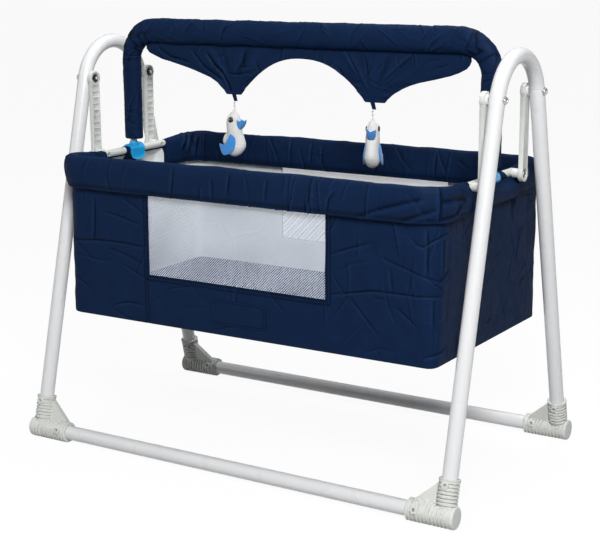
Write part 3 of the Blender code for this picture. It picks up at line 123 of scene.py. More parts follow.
class Recipe:
    """A material's node tree while it is put together."""

    def __init__(self, name: str) -> None:
        """Start a material with a plain shader."""
        self.material = bpy.data.materials.new(name)
        self.material.use_nodes = True
        self.tree = self.material.node_tree
        self.shader = self.tree.nodes["Principled BSDF"]
        self.place = self.tree.nodes.new("ShaderNodeTexCoord").outputs["Object"]

    def node(self, kind: str, values: dict | None = None, **settings: object) -> bpy.types.Node:
        """Add a node to the material."""
        return add_node(self.tree, kind, values, **settings)

    def set(self, **values: object) -> None:
        """Set the shader's own sockets, named in lower case with underscores."""
        for key, value in values.items():
            self.shader.inputs[key.replace("_", " ").title().replace("Ior", "IOR")].default_value = value

    def feed(self, name: str, source: Socket) -> None:
        """Link a node's output to one of the shader's sockets."""
        self.tree.links.new(source, self.shader.inputs[name])

    def noise(self, size: float, detail: float = 3.0) -> Socket:
        """Give random patches of about a size in metres."""
        values = {"Vector": self.place, "Scale": 1 / size, "Detail": detail}
        return self.node("ShaderNodeTexNoise", values).outputs["Fac"]

    def math(self, operation: str, first: object, second: object = 0.0) -> Socket:
        """Give the result of one sum."""
        return self.node("ShaderNodeMath", {0: first, 1: second}, operation=operation).outputs[0]

    def spread(self, value: Socket, low: float, high: float) -> Socket:
        """Stretch the middle of a noise to run from a low to a high value."""
        values = {"Value": value, "From Min": 0.3, "From Max": 0.7, "To Min": low, "To Max": high}
        return self.node("ShaderNodeMapRange", values).outputs[0]

    def roughen(self, size: float, middle: float, either_way: float) -> None:
        """Let the roughness wander round a middle value in patches of a size."""
        self.feed("Roughness", self.spread(self.noise(size), middle - either_way, middle + either_way))

    def tint(self, factor: Socket, dark: Colour, light: Colour) -> None:
        """Run the base colour between two colours."""
        mix = self.node("ShaderNodeMix", {0: factor}, data_type="RGBA")
        mix.inputs["A"].default_value = (*dark, 1.0)
        mix.inputs["B"].default_value = (*light, 1.0)
        self.feed("Base Color", next(out for out in mix.outputs if out.type == "RGBA"))

    def weave(self, pitch: float) -> Socket:
        """Give the height of a fine weave with a thread pitch, on faces that lie any way."""
        split = self.node("ShaderNodeSeparateXYZ", {0: self.place}).outputs
        warp = self.math("ADD", split[0], split[1])
        weft = self.math("ADD", self.math("SUBTRACT", split[0], split[1]), split[2])
        turns = FULL_TURN / pitch
        first = self.math("SINE", self.math("MULTIPLY", warp, turns))
        second = self.math("SINE", self.math("MULTIPLY", weft, turns))
        return self.math("MULTIPLY", first, second)

    def bump(self, height: Socket, depth: float, strength: float = 1.0) -> None:
        """Raise the surface by a height map whose full range is a depth in metres."""
        below = self.shader.inputs["Normal"].links
        values = {"Height": height, "Distance": depth, "Strength": strength}
        if below:
            values["Normal"] = below[0].from_socket
        self.feed("Normal", self.node("ShaderNodeBump", values).outputs[0])


@dataclass(frozen=True)
class Paint:
    """Satin powder paint on steel tube."""

    colour: Colour = (0.80, 0.81, 0.82)

    def material(self) -> Material:
        """Mix the paint: faint orange peel and a slightly uneven gloss."""
        recipe = Recipe("satin_white_paint")
        recipe.set(roughness=0.3, coat_weight=0.25, coat_roughness=0.2)
        recipe.tint(recipe.noise(0.09, 1.0), shade(self.colour, 0.985), self.colour)
        recipe.feed("Roughness", recipe.spread(recipe.noise(0.03, 1.0), 0.27, 0.33))
        recipe.bump(recipe.noise(0.0030, 1.0), 0.00004, 0.2)
        return recipe.material


@dataclass(frozen=True)
class Plastic:
    """Moulded plastic."""

    name: str
    colour: Colour
    roughness: float
    grain: float = 0.0006
    grain_depth: float = 0.00008
    coat: float = 0.0

    def material(self) -> Material:
        """Mix the plastic: fine moulded grain and faint flow marks."""
        recipe = Recipe(self.name)
        recipe.set(specular_ior_level=0.4, coat_weight=self.coat, coat_roughness=0.15)
        recipe.tint(recipe.noise(0.02), shade(self.colour, 0.93), self.colour)
        recipe.roughen(0.006, self.roughness, 0.06)
        recipe.bump(recipe.noise(self.grain, 2.0), self.grain_depth, 0.4)
        return recipe.material


@dataclass(frozen=True)
class Metal:
    """Plated steel."""

    name: str = "zinc_plate"
    colour: Colour = (0.55, 0.56, 0.58)

    def material(self) -> Material:
        """Mix the metal: mottled plating with small scratches."""
        recipe = Recipe(self.name)
        recipe.set(metallic=1.0)
        recipe.tint(recipe.noise(0.002), shade(self.colour, 0.8), self.colour)
        recipe.feed("Roughness", recipe.spread(recipe.noise(0.0012), 0.22, 0.42))
        recipe.bump(recipe.noise(0.0008), 0.00006, 0.5)
        return recipe.material


@dataclass(frozen=True)
class Cloth:
    """A woven cloth, with painted shade in its creases and a painted highlight on their ridges."""

    name: str
    colour: Colour
    pitch: float = 0.0007
    roughness: float = 0.52
    gloss: float = 0.08
    crease_size: float = 0.0
    crease_depth: float = 0.0012
    # How far the colour runs darker and lighter, for the random mottling and flecks and for the painted
    # crease shade and ridge highlight.
    fold_range: float = 0.72
    fleck: float = 0.05

    def material(self) -> Material:
        """Mix the cloth: a fine weave, soft mottling, painted shade in the creases and highlight on their
        ridges, broken creases and fine crumpling.
        """
        recipe = Recipe(self.name)
        facing = recipe.node("ShaderNodeLayerWeight").outputs["Facing"]
        values = {"Value": facing, "From Min": 0.5, "From Max": 0.8, "To Min": self.gloss,
                  "To Max": self.gloss * 0.12}
        recipe.feed("Specular IOR Level", recipe.node("ShaderNodeMapRange", values).outputs[0])
        # Painted light: the crease attribute darkens the colour in the grooves as shade and lightens it on
        # the ridges as a highlight.
        fold = recipe.node("ShaderNodeAttribute", attribute_name=CREASE_SHADE_ATTRIBUTE).outputs["Fac"]
        mottle = recipe.spread(recipe.noise(0.04, 2.0), 0.43, 0.53)
        fleck = recipe.spread(recipe.noise(0.0035, 2.0), -self.fleck, self.fleck)
        factor = recipe.math("ADD", recipe.math("ADD", mottle, fleck), fold)
        recipe.tint(factor, *(shade(self.colour, 1 + by) for by in (-self.fold_range, self.fold_range)))
        recipe.roughen(0.02, self.roughness, 0.05)
        if self.crease_size:
            recipe.bump(self.creases(recipe), self.crease_depth, 0.8)
        recipe.bump(recipe.noise(0.010, 3.0), 0.0010, 0.3)
        recipe.bump(recipe.weave(self.pitch), 0.00010, 0.2)
        return recipe.material

    def creases(self, recipe: Recipe) -> Socket:
        """Give the height of thin creases that come and go, as in a cloth with wadding behind it."""
        size = self.crease_size
        values = {"Vector": recipe.place, "Scale": 1 / size}
        shake = recipe.node("ShaderNodeTexNoise", values).outputs["Color"]
        moved = recipe.node("ShaderNodeVectorMath", {0: shake, 1: (size * 0.3,) * 3, 2: recipe.place},
                            operation="MULTIPLY_ADD").outputs[0]
        cells = recipe.node("ShaderNodeTexVoronoi", {"Vector": moved, "Scale": 1 / size},
                            feature="DISTANCE_TO_EDGE").outputs["Distance"]
        values = {"Value": cells, "From Min": 0.0, "From Max": 0.05, "To Min": 1.0, "To Max": 0.0}
        line = recipe.node("ShaderNodeMapRange", values, interpolation_type="SMOOTHSTEP").outputs[0]
        shown = recipe.spread(recipe.noise(size * 1.2, 1.0), -0.8, 1.0)
        return recipe.math("MULTIPLY", line, recipe.math("MAXIMUM", shown, 0.0))


@dataclass(frozen=True)
class Pile:
    """A short plush or felt."""

    name: str
    colour: Colour
    tuft: float
    sheen: float = 0.35

    def material(self) -> Material:
        """Mix the pile: tufted bump and soft sheen."""
        recipe = Recipe(self.name)
        recipe.set(roughness=0.95, specular_ior_level=0.15, sheen_weight=self.sheen, sheen_roughness=0.6)
        recipe.tint(recipe.spread(recipe.noise(self.tuft * 2), 0.0, 1.0), shade(self.colour, 0.86),
                    self.colour)
        recipe.bump(recipe.noise(self.tuft, 4.0), self.tuft * 0.6, 0.6)
        return recipe.material


@dataclass(frozen=True)
class Hardboard:
    """Pressed wood fibre board."""

    colour: Colour = (0.42, 0.28, 0.16)

    def material(self) -> Material:
        """Mix the board: short fibres in two browns."""
        recipe = Recipe("hardboard")
        recipe.set(roughness=0.8)
        recipe.tint(recipe.spread(recipe.noise(0.0015, 5.0), 0.0, 1.0), shade(self.colour, 0.7), self.colour)
        recipe.bump(recipe.noise(0.0012), 0.0002, 0.5)
        return recipe.material


@dataclass(frozen=True)
class GlossEye:
    """A black glass bead."""

    def material(self) -> Material:
        """Mix the bead: near black with a clear coat."""
        recipe = Recipe("black_bead")
        recipe.set(roughness=0.12, coat_weight=0.6, coat_roughness=0.03)
        recipe.tint(recipe.noise(0.002), (0.004, 0.004, 0.005), (0.010, 0.010, 0.012))
        return recipe.material


class Finishes:
    """Every finish of the cradle, mixed once."""

    def __init__(self) -> None:
        """Mix all the materials."""
        self.paint = Paint().material()
        self.grey = Plastic("warm_grey_plastic", (0.74, 0.76, 0.72), 0.45).material()
        self.link = Plastic("pale_grey_plastic", (0.71, 0.73, 0.70), 0.42).material()
        self.blue = Plastic("blue_plastic", (0.010, 0.400, 0.860), 0.22, 0.004, 0.00003, 0.6).material()
        self.zinc = Metal().material()
        # Near-black steel: the pivot nuts' colour, and painted shade on the washers and in the hexagon
        # sockets of the lower bolts in the links' recesses.
        self.steel = Metal("dark_steel", (0.10, 0.10, 0.11)).material()
        self.navy = Cloth("navy_cloth", (0.0052, 0.0172, 0.0545), gloss=0.045, crease_size=0.075).material()
        self.lining = Cloth("pale_lining", (0.68, 0.71, 0.71), roughness=0.8, gloss=0.1, crease_size=0.11,
                            fold_range=0.15).material()
        self.cotton = Cloth("mattress_cotton", (0.058, 0.068, 0.108), pitch=0.0012, roughness=0.85, gloss=0.1,
                            fold_range=0.3).material()
        yarn = {"pitch": 0.0003, "roughness": 0.7, "gloss": 0.1, "fold_range": 0.1}
        self.net = Cloth("net_yarn", (0.73, 0.80, 0.94), **yarn).material()
        # The back window's net: the same yarn made darker, as painted shade.
        self.shaded_net = Cloth("far_net_yarn", (0.46, 0.50, 0.57), **yarn).material()
        self.plush = Pile("white_plush", (0.82, 0.82, 0.81), 0.0011).material()
        self.felt = Pile("blue_felt", (0.045, 0.300, 0.780), 0.0007).material()
        self.cord = Pile("white_cord", (0.80, 0.80, 0.80), 0.0004).material()
        self.board = Hardboard().material()
        self.eye = GlossEye().material()


class Draft:
    """The points and faces of one piece while it is drawn."""

    def __init__(self) -> None:
        """Start with nothing drawn."""
        self.points: list[Array] = []
        self.folds: list[Array] = []
        self.faces: list[Array] = []
        self.count = 0

    def add_points(self, points: Array, relief: Array | None = None) -> Array:
        """Add points, with the height of the creases there if they have any, and give their indices."""
        first = self.count
        self.points.append(points.reshape(-1, 3))
        self.count += len(self.points[-1])
        height = np.zeros(self.count - first) if relief is None else np.asarray(relief).ravel()
        # The crease heights become the painted shade and highlight of the cloth's colour.
        self.folds.append(np.clip(height / CREASE_SHADE_DEPTH, DEEPEST_CREASE_SHADE, BRIGHTEST_RIDGE_HIGHLIGHT))
        return np.arange(first, self.count).reshape(points.shape[:-1])

    def quads(self, index: Array, wrap_rows: bool = False, wrap_columns: bool = False,
              keep: Array | None = None) -> Array:
        """Add the faces of a grid of indices.

        Args:
            index: The indices, in rows and columns.
            wrap_rows: Whether the last row joins the first.
            wrap_columns: Whether the last column joins the first.
            keep: Which cells to keep, or None for all of them.

        Returns:
            The faces that were added.
        """
        if wrap_rows:
            index = np.vstack([index, index[:1]])
        if wrap_columns:
            index = np.hstack([index, index[:, :1]])
        faces = np.stack([index[:-1, :-1], index[:-1, 1:], index[1:, 1:], index[1:, :-1]], axis=-1)
        faces = faces[keep] if keep is not None else faces.reshape(-1, 4)
        self.faces.append(faces)
        return faces

    def grid(self, points: Array, wrap_rows: bool = False, wrap_columns: bool = False) -> Array:
        """Add a grid of points with its faces, and give its indices."""
        index = self.add_points(points)
        self.quads(index, wrap_rows, wrap_columns)
        return index

    def rod(self, rings: Array) -> "Draft":
        """Add a closed solid through a row of rings, with a flat cap at each end."""
        index = self.grid(rings, wrap_columns=True)
        self.faces += [index[:1], index[-1:]]
        return self

    def pipe(self, outer: Array, inner: Array, relief: Array | None = None) -> "Draft":
        """Add a hollow bar through two rows of rings, open at both ends, with the outer rings' creases."""
        if relief is not None:
            relief = np.concatenate([relief, np.zeros(inner.shape[:-1])])
        index = self.add_points(np.concatenate([outer, inner[::-1]]), relief)
        self.quads(index, wrap_rows=True, wrap_columns=True)
        return self

    def wall(self, rim: Array, shift: int) -> None:
        """Close the gap between two layers along a rim of edges."""
        self.faces.append(np.stack([rim[:, 1], rim[:, 0], rim[:, 0] + shift, rim[:, 1] + shift], axis=1))

    def thicken(self, faces: Array, back: Array) -> None:
        """Close a sheet: add its faces, the same faces on a second layer, and a wall round every open edge.

        Args:
            faces: The faces of the first layer, whose points were added last.
            back: The second layer's points, in the same layout.
        """
        first = self.count - len(back.reshape(-1, 3))
        shift = self.add_points(back).ravel()[0] - first
        self.faces += [faces, faces[:, ::-1] + shift]
        edges = np.concatenate([faces[:, [k, (k + 1) % 4]] for k in range(4)])
        _, place, uses = np.unique(np.sort(edges, axis=1), axis=0, return_index=True, return_counts=True)
        self.wall(edges[place[uses == 1]], shift)

    def shell(self, outer: Array, inner: Array, keep: Array | None = None, wrap: bool = False,
              capped: bool = False, relief: Array | None = None) -> "Draft":
        """Draw a sheet with a thickness from the points of its two faces.

        Args:
            outer: The outer face's points, in rows and columns.
            inner: The inner face's points.
            keep: Which cells to keep, or None for all of them.
            wrap: Whether the last column joins the first.
            capped: Whether one face closes the last row of each layer.
            relief: The height of the outer face's creases.

        Returns:
            The drawing itself.
        """
        index = self.add_points(outer, relief)
        faces = self.quads(index, wrap_columns=wrap, keep=keep)
        self.faces.pop()
        self.thicken(faces, inner)
        if capped:
            self.faces.pop()
            self.wall(np.stack([index[0], np.roll(index[0], -1)], axis=1), index.size)
            self.faces += [index[-1:], index[-1:] + index.size]
        return self

    def piece(self, name: str, finish: Material, smooth_deg: float = 50.0) -> Piece:
        """Turn the drawing into an object.

        Args:
            name: The object's name.
            finish: Its material.
            smooth_deg: Edges sharper than this stay sharp.

        Returns:
            The new object.
        """
        points = np.concatenate(self.points)
        used = np.unique(np.concatenate([faces.ravel() for faces in self.faces]))
        renumber = np.zeros(len(points), int)
        renumber[used] = np.arange(len(used))
        faces = [face for group in self.faces for face in renumber[group].tolist()]
        mesh = bpy.data.meshes.new(name)
        mesh.from_pydata(points[used].tolist(), [], faces)
        # Store the painted crease shade and ridge highlight for the cloth's colour.
        folds = np.concatenate(self.folds)[used]
        if folds.any():
            mesh.attributes.new(CREASE_SHADE_ATTRIBUTE, "FLOAT", "POINT").data.foreach_set("value", folds.astype(np.float32))
        return add_object(name, mesh, finish, smooth_deg)


def add_object(name: str, mesh: bpy.types.Mesh, finish: Material, smooth_deg: float) -> Piece:
    """Put a mesh in the scene with its faces turned out, smooth shading and one material."""
    bm = bmesh.new()
    bm.from_mesh(mesh)
    bmesh.ops.recalc_face_normals(bm, faces=bm.faces)
    bm.to_mesh(mesh)
    bm.free()
    mesh.shade_smooth()
    mesh.set_sharp_from_angle(angle=math.radians(smooth_deg))
    mesh.materials.append(finish)
    made = bpy.data.objects.new(name, mesh)
    bpy.context.collection.objects.link(made)
    return made


def settle(piece: Piece, body: str, slot: Slot, *nodes: str) -> Piece:
    """Let a piece ride on a body, and hide the frame's nodes that it stands for."""
    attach(piece, body)
    if nodes:
        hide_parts(*nodes)
    return piece


def dress(piece: Piece, *finishes: Material) -> None:
    """Give a piece these materials and no others."""
    piece.data.materials.clear()
    for finish in finishes:
        piece.data.materials.append(finish)


def bake_modifiers(piece: Piece) -> None:
    """Apply a piece's modifiers to its mesh."""
    bpy.context.view_layer.update()
    shown = piece.evaluated_get(bpy.context.evaluated_depsgraph_get())
    mesh = bpy.data.meshes.new_from_object(shown)
    piece.modifiers.clear()
    old = piece.data
    piece.data = mesh
    bpy.data.meshes.remove(old)


def carve(piece: Piece, tools: list[Piece], operation: str = "DIFFERENCE") -> None:
    """Cut a piece with tools, or join them to it, and remove them."""
    for tool in tools:
        step = piece.modifiers.new("carve", "BOOLEAN")
        step.operation = operation
        step.solver = "EXACT"
        step.object = tool
        bake_modifiers(piece)
        bpy.data.objects.remove(tool, do_unlink=True)


def unit(value: Array) -> Array:
    """Hold values between 0 and 1."""
    return np.clip(value, 0.0, 1.0)


def eased(value: Array) -> Array:
    """Hold values between 0 and 1, and ease them in and out."""
    share = unit(value)
    return share * share * (3 - 2 * share)


def bell(offset: Array, width: float) -> Array:
    """Give 1 where an offset is zero, and near 0 well past a width."""
    return np.exp(-(offset / width) ** 2)


def outward(side: str) -> Array:
    """Give the direction out through the left or right side."""
    return np.array((float(SIDES[side]), 0.0, 0.0))


def turns(count: int) -> Array:
    """Give angles spaced evenly round a circle."""
    return np.arange(count) * FULL_TURN / count


def on_circle(turn: Array, radius: float | Array = 1.0) -> Array:
    """Give the points at angles round a centre, at one distance or one for each."""
    return np.stack([radius * np.cos(turn), radius * np.sin(turn)], axis=1)


def circle(radius: float, sides: int) -> Array:
    """Give the points of a circle."""
    return on_circle(turns(sides), radius)


def rounded(half_x: float, half_y: float, corner: float, count: int) -> Array:
    """Give evenly spaced points round a rectangle with round corners."""
    ring = []
    for sx, sy, first in ((1, 1, 0.0), (-1, 1, 90.0), (-1, -1, 180.0), (1, -1, 270.0)):
        centre = np.array((sx * (half_x - corner), sy * (half_y - corner)))
        for turn in np.radians(np.linspace(first, first + 90.0, CORNER_POINTS)):
            ring.append(centre + corner * np.array((math.cos(turn), math.sin(turn))))
    return resample(np.array([*ring, ring[0]]), count + 1)[:-1]


def smooth_loop(points: Array, count: int) -> Array:
    """Give points spaced evenly round a smooth closed curve through the given ones."""
    steps = 24
    share = np.linspace(0.0, 1.0, steps, endpoint=False)[:, None]
    before, start = np.roll(points, 1, axis=0), points
    end, after = np.roll(points, -1, axis=0), np.roll(points, -2, axis=0)
    curve = []
    for p0, p1, p2, p3 in zip(before, start, end, after):
        curve.append(0.5 * (2 * p1 + (p2 - p0) * share + (2 * p0 - 5 * p1 + 4 * p2 - p3) * share ** 2
                            + (3 * p1 - p0 - 3 * p2 + p3) * share ** 3))
    return resample(np.concatenate([*curve, points[:1]]), count + 1)[:-1]


def resample(line: Array, count: int) -> Array:
    """Give points spaced evenly along a line."""
    along = lengths_along(line)
    at = np.linspace(0.0, along[-1], count)
    return np.stack([np.interp(at, along, line[:, k]) for k in range(line.shape[1])], axis=1)


def runs(*stops: tuple[float, int]) -> Array:
    """Give rising values: between each stop and the next, the stop's own count of even steps and ends."""
    parts = [np.linspace(start, end, count)[:-1] for (start, count), (end, _) in zip(stops, stops[1:])]
    return np.concatenate([*parts, [stops[-1][0]]])


def lengths_along(line: Array) -> Array:
    """Give each point's distance along a line from its start."""
    return np.concatenate([[0.0], np.cumsum(np.linalg.norm(np.diff(line, axis=0), axis=1))])


def bend(corner: Array, start: Array, end: Array, radius: float, steps: int) -> Array:
    """Give the arc that rounds the corner between two straight runs."""
    first = (start - corner) / np.linalg.norm(start - corner)
    last = (end - corner) / np.linalg.norm(end - corner)
    half = math.acos(float(np.clip(first @ last, -1.0, 1.0))) / 2
    middle = (first + last) / np.linalg.norm(first + last)
    centre = corner + middle * radius / math.sin(half)
    inward = corner + first * radius / math.tan(half) - centre
    side = corner + last * radius / math.tan(half) - centre
    sweep = math.pi - 2 * half
    along = (side - inward * math.cos(sweep)) / math.sin(sweep)
    turn = np.linspace(0.0, sweep, steps + 1)[:, None]
    return centre + inward * np.cos(turn) + along * np.sin(turn)


def rings_along(path: Array, normal: Array, sections: Array) -> Array:
    """Place a section at each point of a flat path.

    Args:
        path: The path's points.
        normal: The direction square to the path's plane.
        sections: One section for all points, or one for each: offsets across the path in its plane and
            along the normal.

    Returns:
        The rings' points, one row for each point of the path.
    """
    tangent = np.gradient(path, axis=0)
    tangent /= np.linalg.norm(tangent, axis=1)[:, None]
    across = np.cross(normal, tangent)
    if sections.ndim == 2:
        sections = np.broadcast_to(sections, (len(path), *sections.shape))
    return path[:, None] + across[:, None] * sections[..., :1] + normal * sections[..., 1:]


def turned(profile: Array, start: Array, axis: Array, sides: int) -> Array:
    """Give the rings of a turned shape from its (distance, radius) profile along an axis."""
    axis = axis / np.linalg.norm(axis)
    helper = UP if abs(axis[2]) < 0.9 else RIGHT
    first = np.cross(axis, helper)
    first /= np.linalg.norm(first)
    second = np.cross(axis, first)
    around = circle(1.0, sides)
    spokes = around[:, :1] * first + around[:, 1:] * second
    return start + profile[:, :1, None] * axis + profile[:, 1:, None] * spokes


def fillet(profile: Curve | list[tuple[float, float]], radius: float, steps: int = 4) -> Array:
    """Round the inner corners of an open profile."""
    points = [np.array(point, float) for point in profile]
    out = [points[0]]
    for before, corner, after in zip(points, points[1:], points[2:]):
        reach = min(radius, np.linalg.norm(before - corner) / 2.01, np.linalg.norm(after - corner) / 2.01)
        first = corner + (before - corner) / np.linalg.norm(before - corner) * reach
        last = corner + (after - corner) / np.linalg.norm(after - corner) * reach
        for share in np.linspace(0.0, 1.0, steps):
            out.append((1 - share) ** 2 * first + 2 * share * (1 - share) * corner + share ** 2 * last)
    out.append(points[-1])
    return np.array(out)


def solid_turned(name: str, profile: Array, start: Array, axis: Array, sides: int,
                 finish: Material) -> Piece:
    """Turn a solid piece, closed by flat faces at both ends of its profile."""
    draft = Draft()
    draft.rod(turned(np.asarray(profile, float), start, axis, sides))
    return draft.piece(name, finish, TURNED_DEG)


def cylinder(radius: float, start: float, stop: float, place: Array, axis: Array, sides: int,
             finish: Material) -> Piece:
    """Make a plain cylinder between two distances along an axis, to cut or join with."""
    return solid_turned("cylinder", np.array(((start, radius), (stop, radius))), place, axis, sides, finish)


def solid_prism(name: str, outline: Array, place: Array, first: Array, second: Array, low: float, high: float,
                finish: Material) -> Piece:
    """Extrude an outline drawn along two directions between two heights along a third."""
    third = np.cross(first, second)
    flat = place + outline[:, :1] * first + outline[:, 1:] * second
    return Draft().rod(np.stack([flat + third * low, flat + third * high])).piece(name, finish, TURNED_DEG)


class Ripples:
    """Smooth random undulations: a sum of plane waves, the same on each run."""

    def __init__(self, length: float, seed: int, waves: int = 16) -> None:
        """Draw the waves.

        Args:
            length: The usual wave length.
            seed: The seed of the random draw.
            waves: How many waves to add up.
        """
        draw = np.random.default_rng(seed)
        directions = draw.normal(size=(waves, 3))
        directions /= np.linalg.norm(directions, axis=1)[:, None]
        self.pull = directions * (FULL_TURN / length * draw.uniform(0.6, 1.5, (waves, 1)))
        self.phase = draw.uniform(0.0, FULL_TURN, waves)

    def at(self, points: Array) -> Array:
        """Give the height at each point, mostly within -1 to 1."""
        waves = np.sin(points @ self.pull.T + self.phase)
        return waves.sum(axis=-1) / math.sqrt(len(self.phase) / 2) / 1.6

    def valleys(self, points: Array, sharpness: float = 9.0) -> Array:
        """Give thin random crease lines: 1 in a crease and near 0 away from it."""
        return unit(1.0 - np.abs(self.at(points))) ** sharpness


@dataclass(frozen=True)
class Crease:
    """A sharp fold in a cloth, drawn along and up it."""

    points: Curve
    depth: float = 0.0024
    width: float = 0.0022

    def height(self, along: Array, up: Array) -> Array:
        """Give the cloth's height at each place: a groove with a soft ridge on one side.

        Args:
            along: How far along the cloth each place is.
            up: How high each place is.

        Returns:
            The height there.
        """
        line = np.array(self.points)
        steps = np.diff(line, axis=0)
        ends = lengths_along(line)
        nearest = np.full(along.shape, np.inf)
        side = np.zeros(along.shape)
        reached = np.zeros(along.shape)
        for start, step, before in zip(line, steps, ends):
            length = float(np.linalg.norm(step))
            du, dv = along - start[0], up - start[1]
            share = unit((du * step[0] + dv * step[1]) / length ** 2)
            away = np.hypot(du - share * step[0], dv - share * step[1])
            closer = away < nearest
            nearest = np.where(closer, away, nearest)
            side = np.where(closer, (du * step[1] - dv * step[0]) / length, side)
            reached = np.where(closer, before + share * length, reached)
        fade = np.sin(np.pi * unit(reached / ends[-1])) ** 0.35
        groove = -0.9 * bell(nearest, self.width)
        ridge = 0.75 * np.exp(-((side - 1.7 * self.width) / (1.3 * self.width)) ** 2
                              - (nearest - np.abs(side)) ** 2 / self.width ** 2)
        return self.depth * fade * (groove + ridge)


@dataclass(frozen=True)
class Scatter:
    """Random thin creases over a stretch of cloth, the same on each run."""

    seed: int
    count: int
    turns_deg: tuple[float, ...] = (-50.0, 50.0, 90.0, 10.0)
    length: tuple[float, float] = (0.03, 0.10)
    depth: float = 0.0018
    width: tuple[float, float] = (0.0014, 0.0022)
    turn_spread_deg: float = 12.0
    bow: float = 0.05
    shallowest: float = 0.25

    def over(self, low: tuple[float, float], high: tuple[float, float]) -> tuple[Crease, ...]:
        """Draw the creases.

        Args:
            low: The lowest place along and up the cloth.
            high: The highest place.

        Returns:
            The creases.
        """
        draw = np.random.default_rng(self.seed)
        out = []
        for _ in range(self.count):
            start = draw.uniform(low, high)
            turn = math.radians(draw.choice(self.turns_deg) + draw.normal(0.0, self.turn_spread_deg))
            run = draw.uniform(*self.length)
            way = np.array((math.cos(turn), math.sin(turn)))
            middle = start + way * run / 2 + draw.normal(0.0, self.bow * run, 2)
            line = (tuple(start), tuple(middle), tuple(start + way * run))
            out.append(Crease(line, self.depth * draw.uniform(self.shallowest, 1.0),
                              draw.uniform(*self.width)))
        return tuple(out)


def creased(creases: tuple[Crease, ...], along: Array, up: Array) -> Array:
    """Give the height of several creases together."""
    return sum((crease.height(along, up) for crease in creases), np.zeros(along.shape))


@dataclass(frozen=True)
class Places:
    """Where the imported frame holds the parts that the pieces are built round."""

    frame_x: float
    foot_y: float
    floor_tube_z: float
    pivot_y: float
    pivot_z: float
    bar_x: float
    bar_z: float
    cover_low: Vector
    cover_high: Vector
    windows: dict[str, tuple[Vector, Vector]]
    toy_x: dict[str, float]
    toy_z: float
    tube_radius: float = 0.016
    bar_radius: float = 0.00825

    @classmethod
    def read(cls) -> "Places":
        """Read the places off the frame."""
        joints = {joint["name"]: joint for joint in frame["joints"]}
        upper, lower = joints["swing"]["pos_m"], joints["basket_level"]["pos_m"]
        leg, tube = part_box("end_frame_right"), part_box("floor_tube_back")
        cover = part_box("cover_front")
        return cls(
            frame_x=(leg[0].x + leg[1].x) / 2,
            foot_y=(tube[0].y + tube[1].y) / 2,
            floor_tube_z=(tube[0].z + tube[1].z) / 2,
            pivot_y=-upper[1],
            pivot_z=upper[2],
            bar_x=-lower[0],
            bar_z=lower[2],
            cover_low=cover[0],
            cover_high=cover[1],
            windows={end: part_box(f"mesh_window_{end}") for end in ENDS},
            toy_x={side: joints[f"toy_swing_{side}"]["pos_m"][0] for side in SIDES},
            toy_z=joints["toy_swing_left"]["pos_m"][2],
        )

    def pivot(self, side: str, end: str, x: float, lower: bool = False) -> Array:
        """Give a point on a link's upper or lower pivot, at a distance from the cradle's middle."""
        return np.array((SIDES[side] * x, ENDS[end] * self.pivot_y, self.bar_z if lower else self.pivot_z))

    def on_bar(self, side: str) -> Array:
        """Give the middle of a hanger bar's axis."""
        return np.array((SIDES[side] * self.bar_x, 0.0, self.bar_z))


